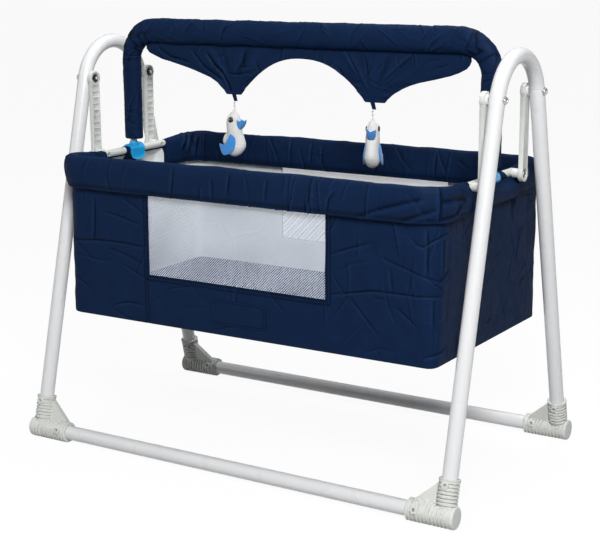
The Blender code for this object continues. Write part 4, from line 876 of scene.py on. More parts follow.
@dataclass
class Stand:
    """The two end frames, the floor tubes and the corner connectors, with their screws and pivots."""

    places: Places
    finishes: Finishes
    tube_wall: float = 0.0012
    bend_radius: float = 0.104
    leg_seat: float = 0.030
    tube_sides: int = 48
    bend_steps: int = 140
    wrinkle_depth: float = 0.0013
    wrinkle_pitch: float = 0.0062
    wrinkle_run: float = 0.085
    barrel_radius: float = 0.023
    barrel_inboard: float = 0.079
    barrel_outboard: float = 0.0245
    barrel_cap: float = 0.0095
    rib_depth: float = 0.0033
    rib_form: Curve = ((0.0, 1.0), (0.33, 1.0), (0.41, 0.10), (0.46, 0.0), (0.87, 0.0), (0.92, 0.10))
    barrel_ribs: int = 11
    socket_radius: float = 0.0212
    socket_length: float = 0.0745
    socket_plain: float = 0.020
    socket_ribs: int = 7
    web_thickness: float = 0.011
    web_inside: float = 0.0045
    floor_tube_insertion: float = 0.055
    boss_radius: float = 0.0078
    boss_rise: float = 0.0015
    leg_screw_height: float = 0.062
    floor_screw_inboard: float = 0.0585
    floor_screw_lift_deg: float = 20.0
    screw_head_radius: float = 0.0028
    screw_sink: float = 0.0012
    screw_head_height: float = 0.0018
    screw_play: float = 0.0008
    cross_half: float = 0.0017
    cross_half_width: float = 0.0004
    cross_turn: float = 0.4
    cross_depth: float = 0.0008
    tube_play: float = 0.0003
    over: float = 0.004
    lip_rise: float = 0.0006
    web_inset: float = 0.002
    mould_sides: int = 64
    mould_smooth_deg: float = 32.0
    bolt_radius: float = 0.004
    bolt_edge: float = 0.0008
    bolt_beyond: float = 0.0088
    bolt_head_radius: float = 0.0075
    bolt_head_height: float = 0.0048
    hexagon_radius: float = 0.0028
    hexagon_low: float = 0.0030
    washer_radius: float = 0.0088
    washer_half: float = 0.0012
    nut_half: float = 0.00625
    nut_height: float = 0.0056
    nut_bore: float = 0.0042
    splay: float = field(init=False)
    bend_z: float = field(init=False)

    def __post_init__(self) -> None:
        """Work the legs' splay and the bend's middle out from the pivots."""
        self.splay = math.acos(self.places.pivot_y / self.bend_radius)
        self.bend_z = self.places.pivot_z - self.bend_radius * math.sin(self.splay)

    def foot(self, side: str, end: str) -> Array:
        """Give the point where a leg's axis meets a floor tube's axis."""
        return np.array((SIDES[side] * self.places.frame_x, ENDS[end] * self.places.foot_y,
                         self.places.floor_tube_z))

    def leg_way(self, end: str) -> Array:
        """Give the upward direction of a leg."""
        return np.array((0.0, -ENDS[end] * math.sin(self.splay), math.cos(self.splay)))

    def build(self) -> None:
        """Build and dress every piece of the stand."""
        for side in SIDES:
            self.build_end_frame(side)
        for end in ENDS:
            self.build_floor_tube(end)
            for side in SIDES:
                self.build_connector(side, end)
                self.build_pivot(side, end)

    def build_end_frame(self, side: str) -> None:
        """Bend one end frame, with the small wrinkles that bending leaves inside the curve."""
        x = SIDES[side] * self.places.frame_x
        turn = np.linspace(self.splay, math.pi - self.splay, self.bend_steps)
        arc = np.stack([np.full_like(turn, x), self.bend_radius * np.cos(turn),
                        self.bend_z + self.bend_radius * np.sin(turn)], axis=1)
        back = self.foot(side, "back") + self.leg_way("back") * self.leg_seat
        front = self.foot(side, "front") + self.leg_way("front") * self.leg_seat
        legs = [np.linspace(back, arc[0], 30)[:-1], np.linspace(arc[-1], front, 30)[1:]]
        path = np.concatenate([legs[0], arc, legs[1]])
        along = lengths_along(path)
        bend_start, bend_end = along[len(legs[0])], along[len(legs[0]) + len(arc) - 1]
        from_end = np.minimum(np.abs(along - bend_start), np.abs(along - bend_end))
        inside = (along > bend_start) & (along < bend_end)
        near = np.where(inside, unit(1.0 - from_end / self.wrinkle_run) ** 1.5, 0.0) * unit(from_end / 0.008)
        ripple = 0.5 - 0.5 * np.cos(FULL_TURN * from_end / self.wrinkle_pitch
                                    + 0.8 * np.sin(from_end * 320.0))
        section = circle(self.places.tube_radius, self.tube_sides)
        rings = rings_along(path, RIGHT, section)
        centre = np.array((x, 0.0, self.bend_z))
        inward = centre - path
        inward /= np.linalg.norm(inward, axis=1)[:, None]
        spokes = (rings - path[:, None]) / self.places.tube_radius
        facing = unit((spokes * inward[:, None]).sum(axis=2)) ** 3
        dent = self.wrinkle_depth * near[:, None] * ripple[:, None] * facing
        rings -= spokes * dent[..., None]
        inner = rings_along(path, RIGHT, circle(self.places.tube_radius - 2 * self.tube_wall,
                                                                   self.tube_sides))
        draft = Draft()
        draft.pipe(rings, inner)
        settle(draft.piece(f"end_frame_{side}_tube", self.finishes.paint), "stand", Slot.PAINT,
               f"end_frame_{side}")

    def build_floor_tube(self, end: str) -> None:
        """Make one floor tube."""
        half = self.places.frame_x - self.barrel_inboard + self.floor_tube_insertion
        path = np.linspace((-half, 0.0, 0.0), (half, 0.0, 0.0), 60)
        path += np.array((0.0, ENDS[end] * self.places.foot_y, self.places.floor_tube_z))
        draft = Draft()
        draft.pipe(rings_along(path, UP, circle(self.places.tube_radius, self.tube_sides)),
                   rings_along(path, UP, circle(self.places.tube_radius - self.tube_wall, self.tube_sides)))
        settle(draft.piece(f"floor_tube_{end}_tube", self.finishes.paint), "stand", Slot.PAINT,
               f"floor_tube_{end}")

    def ribbed(self, start: float, stop: float, ribs: int, radius: float) -> list[tuple[float, float]]:
        """Give the profile of square ribs between two distances along a socket."""
        pitch = (stop - start) / ribs
        profile = []
        for rib in range(ribs):
            for share, groove in self.rib_form:
                profile.append((start + pitch * (rib + share), radius - self.rib_depth * groove))
        return profile

    def screw_places(self, side: str, end: str) -> list[tuple[Array, Array, float, str]]:
        """Give each screw's place on its tube's axis, the way it faces, the wall's radius and its name."""
        foot = self.foot(side, end)
        upright = foot + self.leg_way(end) * self.leg_screw_height
        across = np.array((0.0, -math.cos(self.splay), -ENDS[end] * math.sin(self.splay)))
        lift = math.radians(self.floor_screw_lift_deg)
        level = foot - np.array((SIDES[side] * self.floor_screw_inboard, 0.0, 0.0))
        return [(upright, across, self.socket_radius, f"leg_screw_{end}_{side}"),
                (level, np.array((0.0, -math.cos(lift), math.sin(lift))), self.barrel_radius,
                 f"floor_screw_{end}_{side}")]

    def build_connector(self, side: str, end: str) -> None:
        """Mould one corner connector: ribbed sockets, a smooth end cap, a web and the screws' bosses."""
        foot, upward, inboard = self.foot(side, end), self.leg_way(end), -outward(side)
        finish, radius = self.finishes.grey, self.barrel_radius
        length = self.barrel_inboard + self.barrel_outboard
        cap = fillet([(length - self.barrel_cap, radius), (length, radius), (length, 0.004)], 0.0045, 8)
        profile = [(0.0, radius - 0.002), (0.0015, radius),
                   *self.ribbed(0.004, length - self.barrel_cap, self.barrel_ribs, radius), *map(tuple, cap)]
        rings = turned(np.array(profile), foot + inboard * self.barrel_inboard, -inboard, self.mould_sides)
        rings[..., 2] = np.maximum(rings[..., 2], 0.0)
        connector = Draft().rod(rings).piece(f"corner_connector_{end}_{side}", finish, self.mould_smooth_deg)
        carve(connector, [self.leg_socket(foot, upward), self.web(side, end)], "UNION")

        bosses, holes = [], []
        for place, facing, wall, _ in self.screw_places(side, end):
            top, wide = wall + self.boss_rise, self.boss_radius
            boss = fillet([(self.places.tube_radius, wide), (top, wide), (top, 0.002)], 0.0006)
            bosses.append(solid_turned("boss", boss, place, facing, 40, finish))
            sink = self.screw_head_radius + self.screw_play
            holes.append(cylinder(sink, self.screw_seat(wall), wall + self.over, place, facing, 40, finish))
        carve(connector, bosses, "UNION")
        bore, sides = self.places.tube_radius + self.tube_play, self.mould_sides
        mouth = foot + inboard * (self.barrel_inboard + self.over)
        holes += [cylinder(bore, 0.0, self.floor_tube_insertion + self.over, mouth, -inboard, sides, finish),
                  cylinder(bore, self.leg_seat, self.socket_length + self.over, foot, upward, sides, finish)]
        carve(connector, holes)
        connector.data.set_sharp_from_angle(angle=math.radians(self.mould_smooth_deg))
        settle(connector, "stand", Slot.GREY, f"connector_{end}_{side}")
        for place, facing, wall, name in self.screw_places(side, end):
            self.build_screw(name, place, facing, wall)

    def leg_socket(self, foot: Array, upward: Array) -> Piece:
        """Make the ribbed socket that a leg stands in, with a lip round its mouth."""
        top, groove = self.socket_length, self.socket_radius - self.rib_depth
        lip = self.socket_radius + self.lip_rise
        profile = [(0.0, groove), (self.socket_plain, groove),
                   *self.ribbed(self.socket_plain, top - 0.004, self.socket_ribs, self.socket_radius),
                   (top - 0.003, lip), (top - 0.0008, lip), (top, lip - 0.001)]
        return solid_turned("socket", np.array(profile), foot, upward, self.mould_sides, self.finishes.grey)

    def web(self, side: str, end: str) -> Piece:
        """Make the web that joins the leg's socket to the floor tube's."""
        inset = self.rib_depth + self.web_inset
        reach, top = self.barrel_inboard - inset, self.socket_length - inset
        inside = self.places.tube_radius / 2
        outline = fillet([(0.0, inside), (reach, inside), (reach, self.barrel_radius - inset),
                          (self.socket_radius - inset, top), (0.0, top)], 0.006)
        middle, half = -SIDES[side] * ENDS[end] * self.web_inside, self.web_thickness / 2
        return solid_prism("web", outline, self.foot(side, end), -outward(side), self.leg_way(end),
                           middle - half, middle + half, self.finishes.grey)

    def screw_seat(self, wall: float) -> float:
        """Give the distance of a screw head's seat from its tube's axis."""
        return wall - self.rib_depth - self.screw_sink - self.screw_head_height

    def build_screw(self, name: str, place: Array, facing: Array, wall: float) -> None:
        """Make one pan-head screw with a cross recess."""
        seat, wide, finish = self.screw_seat(wall), self.screw_head_radius, self.finishes.zinc
        top = seat + self.screw_head_height
        profile = fillet([(seat, wide), (seat + 0.0012, wide), (top, 0.0011), (top + 0.0001, 0.0002)], 0.0008)
        screw = solid_turned(f"{name}_head", profile, place, facing, 40, finish)
        basis = Vector(facing).to_track_quat("Z", "Y").to_matrix()
        half, thin = self.cross_half, self.cross_half_width
        outline = np.array(((-half, -thin), (half, -thin), (half, thin), (-half, thin)))
        tools = []
        for turn in (self.cross_turn, self.cross_turn + math.pi / 2):
            first = np.array(basis @ Vector((math.cos(turn), math.sin(turn), 0.0)))
            second = np.array(basis @ Vector((-math.sin(turn), math.cos(turn), 0.0)))
            tools.append(solid_prism("cross", outline, place, first, second, top - self.cross_depth,
                                     seat + self.over, finish))
        carve(screw, tools)
        settle(screw, "stand", Slot.ZINC, name)

    def build_pivot(self, side: str, end: str) -> None:
        """Make one upper pivot: a domed bolt head outside the leg, and a square nut in the link's recess."""
        out, link, finish = outward(side), LinkSizes(), self.finishes.zinc
        head_x = self.places.frame_x + self.places.tube_radius
        leg_x = self.places.frame_x - self.places.tube_radius
        inner_x = leg_x - link.to_leg - link.thickness + link.recess_depth
        seat, top = self.washer_half, self.washer_half + self.bolt_head_height
        wide, edge = self.washer_radius, self.bolt_edge
        washer = fillet([(-seat, wide), (seat / 2, wide), (seat, wide - edge)], 0.0003)
        head = fillet([(seat, self.bolt_head_radius), (seat + 0.0014, self.bolt_head_radius), (top, 0.0042),
                       (top, 0.0034)], 0.0016)
        tip, thick = inner_x - self.bolt_beyond - head_x, self.bolt_radius
        shaft = [(tip, thick - edge), (tip + edge, thick), (-0.0013, thick)]
        place = self.places.pivot(side, end, head_x)
        bolt = solid_turned(f"upper_pivot_bolt_{end}_{side}_shaft", np.concatenate([shaft, washer, head]),
                            place, out, 40, finish)
        carve(bolt, [solid_prism("hexagon", circle(self.hexagon_radius, 6), place, BACK, np.cross(out, BACK),
                                 self.hexagon_low, 0.0100, finish)])
        settle(bolt, "stand", Slot.ZINC, f"upper_pivot_bolt_{end}_{side}")

        half = self.nut_half
        outline = fillet([(half, 0.0), (half, half), (-half, half), (-half, -half), (half, -half),
                          (half, 0.0)], 0.0009, 3)[:-1]
        slant = np.array((0.0, DIAGONAL, DIAGONAL))
        seat, middle = (self.places.pivot(side, end, x) for x in (inner_x - 0.0003, inner_x))
        nut = solid_prism(f"pivot_nut_{end}_{side}_square", outline, seat, slant, -np.cross(out, slant), 0.0,
                          self.nut_height, self.finishes.steel)
        carve(nut, [cylinder(self.nut_bore, -0.010, 0.010, middle, out, 32, finish)])
        # The nut is coloured near black.
        dress(nut, self.finishes.steel)
        settle(nut, "stand", Slot.ZINC, f"pivot_nut_{end}_{side}")
        LOG.info("stand corner %s %s: connector, two screws, pivot bolt and nut", end, side)


@dataclass(frozen=True)
class LinkSizes:
    """The sizes of a swing link."""

    length: float = 0.172
    ring_radius: float = 0.0165
    width: float = 0.026
    thickness: float = 0.010
    to_leg: float = 0.005
    boss_radius: float = 0.0105
    cells: int = 10
    cell_depth: float = 0.0012
    flange: float = 0.0026
    rib: float = 0.0012
    recess_radius: float = 0.0118
    recess_depth: float = 0.004
    bolt_radius: float = 0.004
    lower_head_radius: float = 0.0057
    lower_recess_radius: float = 0.0104
    washer_radius: float = 0.0101
    collar_radius: float = 0.0098
    neck_radius: float = 0.0068
    neck_length: float = 0.0034
    mid_hole_radius: float = 0.0011
    edge_round: float = 0.0007
    cell_round: float = 0.0012
    bolt_play: float = 0.0003
    sunk: float = 0.002
    over: float = 0.004
    hexagon_radius: float = 0.0029
    # Inside this radius a lower bolt's head is near black: painted shade in its hexagon socket.
    socket_shade_radius: float = 0.0035


@dataclass
class Links:
    """The four swing links and their lower bolts."""

    places: Places
    finishes: Finishes
    sizes: LinkSizes = LinkSizes()

    def build(self) -> None:
        """Build and dress the four links."""
        for end in ENDS:
            for side in SIDES:
                self.build_link(side, end)
                self.build_lower_bolt(side, end)

    def outline(self) -> Array:
        """Give the side outline of a link: two rings with a narrower bar between them."""
        sizes = self.sizes
        spread = math.asin(sizes.width / 2 / sizes.ring_radius)
        points = []
        for centre, first in ((0.0, spread - math.pi / 2), (-sizes.length, spread + math.pi / 2)):
            for turn in np.linspace(first, first + FULL_TURN - 2 * spread, 41):
                points.append((sizes.ring_radius * math.cos(turn),
                               centre + sizes.ring_radius * math.sin(turn)))
        return np.array(points)

    def build_link(self, side: str, end: str) -> None:
        """Mould one link: rings, ribbed channel on its inner face, recesses and bosses."""
        sizes, finish, out = self.sizes, self.finishes.link, outward(side)
        across = np.array((0.0, float(SIDES[side]), 0.0))
        inner_x = self.places.frame_x - self.places.tube_radius - sizes.to_leg - sizes.thickness
        face, lower = (self.places.pivot(side, end, inner_x, low) for low in (False, True))
        link = solid_prism(f"swing_link_{end}_{side}_moulding", self.outline(), face, across, UP, 0.0,
                           sizes.thickness, finish)
        gap = inner_x - self.places.bar_x - self.places.bar_radius - 0.0004
        collar = np.array(((-gap, sizes.collar_radius), (-sizes.neck_length, sizes.collar_radius),
                           (-sizes.neck_length + 0.0002, sizes.neck_radius), (sizes.sunk, sizes.neck_radius)))
        carve(link, [cylinder(sizes.boss_radius, sizes.thickness - sizes.sunk,
                              sizes.thickness + sizes.to_leg - 0.0004, face, out, 48, finish),
                     solid_turned("boss", collar, lower, out, 48, finish)], "UNION")
        bore, over = sizes.bolt_radius + sizes.bolt_play, sizes.over
        tools = [cylinder(bore, -0.03, 0.03, centre, out, 32, finish) for centre in (face, lower)]
        tools.append(cylinder(sizes.recess_radius, -over, sizes.recess_depth, face, out, 48, finish))
        tools.append(cylinder(sizes.lower_recess_radius, sizes.thickness - sizes.recess_depth,
                              sizes.thickness + over, lower, out, 48, finish))
        tools.append(cylinder(sizes.mid_hole_radius, -over, sizes.thickness + over,
                              face - UP * sizes.length / 2, out, 16, finish))
        carve(link, [*tools, self.pockets(face, across, out)])
        soften = link.modifiers.new("soften", "BEVEL")
        soften.width = sizes.edge_round
        soften.segments = 2
        soften.limit_method = "ANGLE"
        soften.angle_limit = math.radians(50.0)
        bake_modifiers(link)
        link.data.set_sharp_from_angle(angle=math.radians(MOULD_DEG))
        settle(link, f"link_{end}_{side}", Slot.GREY, f"swing_link_{end}_{side}")
        LOG.info("swing link %s %s", end, side)

    def pockets(self, face: Array, across: Array, out: Array) -> Piece:
        """Make the tool that cuts the row of cells into a link's inner face."""
        sizes = self.sizes
        run = sizes.length - 2 * sizes.ring_radius
        cell = (run - sizes.rib * (sizes.cells - 1)) / sizes.cells
        half = sizes.width / 2 - sizes.flange
        pocket = Draft()
        for k in range(sizes.cells):
            top = -sizes.ring_radius - k * (cell + sizes.rib)
            middle, low = top - cell / 2, top - cell
            outline = fillet([(half, middle), (half, top), (-half, top), (-half, low), (half, low),
                              (half, middle)], sizes.cell_round, 3)[:-1]
            flat = face + outline[:, :1] * across + outline[:, 1:] * UP
            pocket.rod(np.stack([flat - out * sizes.over, flat + out * sizes.cell_depth]))
        return pocket.piece("pockets", self.finishes.link)

    def build_lower_bolt(self, side: str, end: str) -> None:
        """Make one lower pivot bolt, its socket head in the link's outer recess."""
        sizes, out = self.sizes, outward(side)
        seat_x = self.places.frame_x - self.places.tube_radius - sizes.to_leg - sizes.recess_depth
        washer = [(0.0003, sizes.washer_radius), (0.0008, sizes.washer_radius)]
        head = fillet([(0.0009, sizes.lower_head_radius), (0.0026, sizes.lower_head_radius), (0.0037, 0.0052),
                       (0.0037, 0.0036)], 0.0008)
        tail = self.places.bar_x - 0.003 - seat_x
        shaft = [(tail, 0.0034), (tail + 0.0006, sizes.bolt_radius), (0.0, sizes.bolt_radius)]
        place = self.places.pivot(side, end, seat_x, True)
        bolt = solid_turned(f"lower_pivot_bolt_{end}_{side}_shaft", np.concatenate([shaft, washer, head]),
                            place, out, 40, self.finishes.zinc)
        carve(bolt, [solid_prism("hexagon", circle(sizes.hexagon_radius, 6), place, BACK, np.cross(out, BACK),
                                 0.0014, 0.0060, self.finishes.zinc)])
        # The washer and the hexagon socket are near black, as painted shade in the link's outer recess and in
        # the socket; the rest of the head is zinc.
        dress(bolt, self.finishes.steel, self.finishes.zinc)
        for face in bolt.data.polygons:
            apart = math.hypot(face.center[1] - place[1], face.center[2] - place[2])
            face.material_index = int(sizes.socket_shade_radius < apart < sizes.lower_head_radius + 0.0002)
        settle(bolt, "basket", Slot.ZINC, f"lower_pivot_bolt_{end}_{side}")


class CoverSheet:
    """One side's cloth of the basket as a grid that follows the plan with corners that widen with height."""

    def __init__(self, cover: "Cover", end: str) -> None:
        """Lay the grid's columns and rows out for a long panel.

        Args:
            cover: The cover, whose sizes the panel follows.
            end: Which long side it is.
        """
        self.cover = cover
        low, high = cover.places.cover_low.z, cover.places.cover_high.z
        self.window = cover.places.windows[end]
        sill = self.window[0].z
        step = cover.step
        self.rows = runs((low, round((sill - low) / step) + 1), (sill, round((high - sill) / step) + 1),
                         (high, 4), (high + cover.tuck, 0))
        self.sign = ENDS[end]

    def plan(self, z: float, inset: float) -> tuple[Array, Array, Array]:
        """Give the plan at a height.

        Args:
            z: The height.
            inset: How far inside the outer face.

        Returns:
            The places along X and Y, their outward directions, and how far round the cloth each one is.
        """
        cover = self.cover
        low, high = cover.places.cover_low.z, cover.places.cover_high.z
        rise = unit((z - low) / (high - low))
        turn = np.linspace(math.pi / 2, 0.0, 33)[1:]
        halves = []
        for side, edge in ((-1.0, -self.window[0].x), (1.0, self.window[1].x)):
            bottom, top = cover.corners[(self.sign, int(side))]
            radius = bottom + (top - bottom) * rise
            centre = np.array((cover.half_length - radius, cover.half_width - radius))
            straight = np.linspace(centre[1], cover.join_y, 14)[1:]
            flat = np.concatenate([np.linspace(0.0, edge, 110)[:-1], np.linspace(edge, centre[0], 92)])
            place = np.concatenate([
                np.stack([flat, np.full_like(flat, cover.half_width - inset)], axis=1),
                centre + on_circle(turn) * (radius - inset),
                np.stack([np.full_like(straight, cover.half_length - inset), straight], axis=1)])
            normal = np.concatenate([np.tile((0.0, 1.0), (len(flat), 1)), on_circle(turn),
                                     np.tile((1.0, 0.0), (len(straight), 1))])
            along = np.concatenate([flat, centre[0] + radius * (math.pi / 2 - turn),
                                    centre[0] + radius * math.pi / 2 + centre[1] - straight])
            mirror = np.array((side, float(self.sign)))
            halves.append((place * mirror, normal * mirror, along * side))
        return tuple(np.concatenate([left[:0:-1], right]) for left, right in zip(*halves))

    def layer(self, inset: float) -> tuple[Array, Array, Array, Array]:
        """Give a layer's points, outward directions, and each point's place along and up the cloth."""
        points, normals, alongs = [], [], []
        for z in self.rows:
            place, normal, along = self.plan(z, inset)
            points.append(np.column_stack([place, np.full(len(place), z)]))
            normals.append(np.column_stack([normal, np.zeros(len(normal))]))
            alongs.append(along)
        points = np.array(points)
        return points, np.array(normals), np.array(alongs), points[..., 2]


@dataclass
class Cover:
    """The basket's cloth cover: navy outside, pale lining inside, with a mesh window in each long side."""

    places: Places
    finishes: Finishes
    step: float = 0.002
    half_length: float = 0.450
    half_width: float = 0.243
    corner: float = 0.022
    corner_least: float = 0.006
    bottom_cloth: float = 0.0012
    bulge: tuple[tuple[int, float, float], ...] = ((-1, 0.009, 0.007), (1, 0.006, 0.015))
    bulge_from: float = 0.33
    apron_shares: Curve = ((0.0, 0.02), (0.05, 0.50), (0.14, 0.80), (0.35, 1.0), (0.6, 1.0), (0.85, 0.80),
                           (1.0, 0.66))
    apron: float = 0.0215
    patch_low: tuple[float, float] = (-0.073, 0.318)
    patch_high: tuple[float, float] = (0.068, 0.3705)
    patch_corner: float = 0.012
    patch_cloth: float = 0.0008
    # Rows from the patch's edge inwards: inset, height, and painted shade, below zero darker in the grooves
    # and above zero lighter on the ridge.
    patch_edge: Curve = (
        (0.0, 0.0004, -0.002), (0.0003, 0.0018, 0.0), (0.0008, 0.0021, 0.001), (0.0022, 0.0021, 0.001),
        (0.0028, 0.0016, -0.001), (0.0034, 0.0015, -0.002), (0.0040, 0.0017, -0.001), (0.0050, 0.0021, 0.0),
        (0.012, 0.0022, 0.0), (0.020, 0.0022, 0.0))
    bottom_edge: Curve = (
        (0.0032, 0.0030), (0.0050, 0.0008), (0.0085, 0.0), (0.03, 0.0), (0.07, 0.0), (0.12, 0.0))
    corners: dict[tuple[int, int], tuple[float, float]] = field(default_factory=lambda: {
        (-1, -1): (0.024, 0.034), (-1, 1): (0.022, 0.050), (1, -1): (0.022, 0.040), (1, 1): (0.012, 0.014)})
    join_y: float = 0.188
    tuck: float = 0.008
    outer_cloth: float = 0.0013
    lining_inset: float = 0.0031
    lining_cloth: float = 0.0008
    hem_round: float = 0.006
    swell: float = 0.0011
    swell_length: float = 0.13
    crumple: float = 0.0006
    crumple_length: float = 0.045
    edge_fade: float = 0.02
    deepest: float = -0.0012
    join_fade: float = 0.012
    patch_fade: float = 0.02
    seam_offsets: tuple[float, float] = (0.0045, 0.0115)
    seam_width: float = 0.0016
    seam_depth: float = 0.0019
    stitch_pitch: float = 0.0033
    rise_half: float = 0.117
    tab_half: float = 0.022
    bar_lap: float = 0.0015
    bar_reach: float = 0.0082
    draw_in: float = 0.018
    beside: float = 0.020
    loop_ends: dict[str, tuple[float, float]] = field(default_factory=lambda: {
        "left": (0.030, 0.030), "right": (0.056, 0.084)})
    loop_start: float = 0.038
    loop_slant: float = 0.4
    loop_cloth: float = 0.0009
    strip: tuple[float, float] = (0.054, 0.075)
    strip_cloth: float = 0.0008
    net_pitch: float = 0.0028
    back_net: float = 0.74
    net_share: float = 0.7
    net_strand: float = 0.0006
    net_cloth: float = 0.0005
    net_inset: float = 0.0017
    side_seeds: dict[str, int] = field(default_factory=lambda: {"front": 11, "back": 31})
    side_creases: dict[str, Scatter] = field(default_factory=lambda: {
        "front": Scatter(23, 64), "back": Scatter(57, 64)})
    side_stretch: Curve = ((-0.62, 0.30), (0.62, 0.56))
    end_seeds: dict[str, int] = field(default_factory=lambda: {"right": 71, "left": 91})
    end_creases: dict[str, Scatter] = field(default_factory=lambda: {
        "right": Scatter(76, 34, (60.0, 100.0, 130.0, 20.0)), "left": Scatter(96, 34, (60.0, 100.0, 130.0,
                                                                                       20.0))})
    front_creases: tuple[Crease, ...] = (
        Crease(((0.222, 0.4175), (0.257, 0.4238), (0.320, 0.4358), (0.358, 0.4364), (0.4235, 0.4366),
                (0.466, 0.4361))),
        Crease(((0.430, 0.569), (0.4316, 0.530), (0.4314, 0.477))),
        Crease(((0.466, 0.5476), (0.466, 0.5106), (0.4666, 0.4755))),
        Crease(((0.459, 0.4648), (0.4865, 0.4798), (0.513, 0.4966))),
        Crease(((0.400, 0.5506), (0.411, 0.538), (0.422, 0.5342), (0.439, 0.5448), (0.458, 0.5526),
                (0.481, 0.5588))),
        Crease(((0.335, 0.506), (0.386, 0.4898), (0.423, 0.4762), (0.459, 0.4648)), 0.0018),
        Crease(((0.222, 0.4997), (0.268, 0.5168), (0.313, 0.5316)), 0.0018),
        Crease(((0.268, 0.4171), (0.298, 0.3839), (0.332, 0.3476)), 0.0018),
        Crease(((0.369, 0.4096), (0.392, 0.3924), (0.414, 0.3752)), 0.0018),
        Crease(((0.3576, 0.4825), (0.360, 0.4628), (0.3625, 0.439)), 0.0014),
        Crease(((0.445, 0.4294), (0.4456, 0.4016), (0.446, 0.3737)), 0.0018),
        Crease(((0.4255, 0.3142), (0.462, 0.3237), (0.500, 0.3314)), 0.0018),
        Crease(((-0.375, 0.5607), (-0.3765, 0.5158), (-0.380, 0.4658))),
        Crease(((-0.434, 0.4602), (-0.3675, 0.4671), (-0.297, 0.4677), (-0.248, 0.4639))),
        Crease(((-0.352, 0.5338), (-0.303, 0.525), (-0.2516, 0.5123)), 0.0018),
        Crease(((-0.299, 0.5674), (-0.272, 0.5544), (-0.245, 0.5371)), 0.0018),
        Crease(((-0.340, 0.3197), (-0.317, 0.3296), (-0.295, 0.3348), (-0.267, 0.3361), (-0.2475, 0.3317)),
               0.0018),
        Crease(((-0.340, 0.3197), (-0.318, 0.3088), (-0.296, 0.3003), (-0.271, 0.2991)), 0.0014),
        Crease(((-0.432, 0.3799), (-0.4155, 0.368), (-0.396, 0.3542)), 0.0016),
        Crease(((-0.340, 0.4519), (-0.293, 0.4412), (-0.249, 0.4259)), 0.0016),
        Crease(((0.0006, 0.3984), (-0.006, 0.3803), (-0.009, 0.3626)), 0.0014),
    )

    def build(self) -> None:
        """Build and dress the cover."""
        for end in ENDS:
            self.build_long_side(end)
            self.build_net(end)
        for side in SIDES:
            self.build_end_side(side)
            self.build_tab_loop(side)
            self.build_tab_strip(side)
        self.build_bottom()
        self.build_patch()

    def swollen(self, points: Array) -> Array:
        """Push the two ends out as the soft cloth bulges there, the more the nearer to an end."""
        out = points.copy()
        near = eased((np.abs(points[..., 0]) - self.bulge_from) / (self.half_length - self.bulge_from))
        back = unit(0.5 + points[..., 1] / (2 * self.half_width))
        for side, front_most, back_most in self.bulge:
            most = front_most + (back_most - front_most) * back
            out[..., 0] += np.where(points[..., 0] * side > 0, side * most * near, 0.0)
        return out

    def hem(self, up: Array) -> Array:
        """Give how far the cloth turns in near its lower edge."""
        above = np.clip(up - self.places.cover_low.z, 0.0, self.hem_round)
        return self.hem_round - np.sqrt(self.hem_round ** 2 - (self.hem_round - above) ** 2)

    def relief(self, points: Array, up: Array, seed: int, folds: Array) -> Array:
        """Give how far the cloth stands out: its creases, soft swells and fine crumples.

        Args:
            points: The cloth's points.
            up: How high each one is.
            seed: The seed of the random swells.
            folds: The height of the creases at each point.

        Returns:
            The height of each point above the plain cloth.
        """
        low, high = self.places.cover_low.z, self.places.cover_high.z
        edge = unit(np.minimum(up - low, high + 0.004 - up) / self.edge_fade)
        swell = self.swell * Ripples(self.swell_length, seed).at(points)
        fine = self.crumple * Ripples(self.crumple_length, seed + 1).at(points)
        return np.maximum(folds + (swell + fine) * edge, self.deepest)

    def near_join(self, along: Array, half: float) -> Array:
        """Give 1 over a panel, down to 0 at the seams that join it to its neighbours."""
        return unit((half - np.abs(along)) / self.join_fade)

    def window_seams(self, end: str, along: Array, up: Array) -> Array:
        """Give the height of the double rows of stitches beside the window and under it.

        Args:
            end: Which long side it is.
            along: How far along the cloth each place is.
            up: How high each place is.

        Returns:
            The height, below zero in the rows.
        """
        low, high = self.places.windows[end]
        beyond, below = np.maximum(low.x - along, along - high.x), low.z - up
        beside = np.where(along < low.x, 1.0, up > low.z - 0.014)
        out = np.zeros(along.shape)
        for offset in self.seam_offsets:
            for away, run, here in ((beyond, up, beside), (below, along, beyond < offset)):
                stitches = 0.75 + 0.25 * np.sin(run / self.stitch_pitch * FULL_TURN)
                out -= self.seam_depth * bell(away - offset, self.seam_width) * here * stitches
        return out

    def build_long_side(self, end: str) -> None:
        """Sew one long side: the navy cloth and its lining, each with the window cut out."""
        sheet = CoverSheet(self, end)
        creases = self.front_creases if end == "front" else ()
        creases += self.side_creases[end].over(*self.side_stretch)
        seed = self.side_seeds[end]
        window = self.places.windows[end]
        outer, normal, along, up = sheet.layer(0.0)
        middle_x = (outer[:-1, :-1, 0] + outer[1:, 1:, 0]) / 2
        middle_z = (up[:-1, :-1] + up[1:, 1:]) / 2
        keep = ~((middle_x > window[0].x) & (middle_x < window[1].x) & (middle_z > window[0].z))
        fade = self.near_join(along, float(along.max()))
        folds = (creased(creases, along, up) + self.window_seams(end, along, up)) * fade
        relief = self.relief(outer, up, seed, folds) * fade
        if end == "front":
            low, high = np.array(self.patch_low), np.array(self.patch_high)
            beyond = np.abs(np.stack([along, up], axis=-1) - (low + high) / 2) - (high - low) / 2
            relief = relief * unit((beyond.max(axis=-1) - 0.002) / self.patch_fade)
        hem = self.hem(up)
        draft = Draft()
        face = outer + normal * (relief - hem)[..., None]
        back = outer + normal * (np.minimum(relief, 0.0) * 0.8 - hem - self.outer_cloth)[..., None]
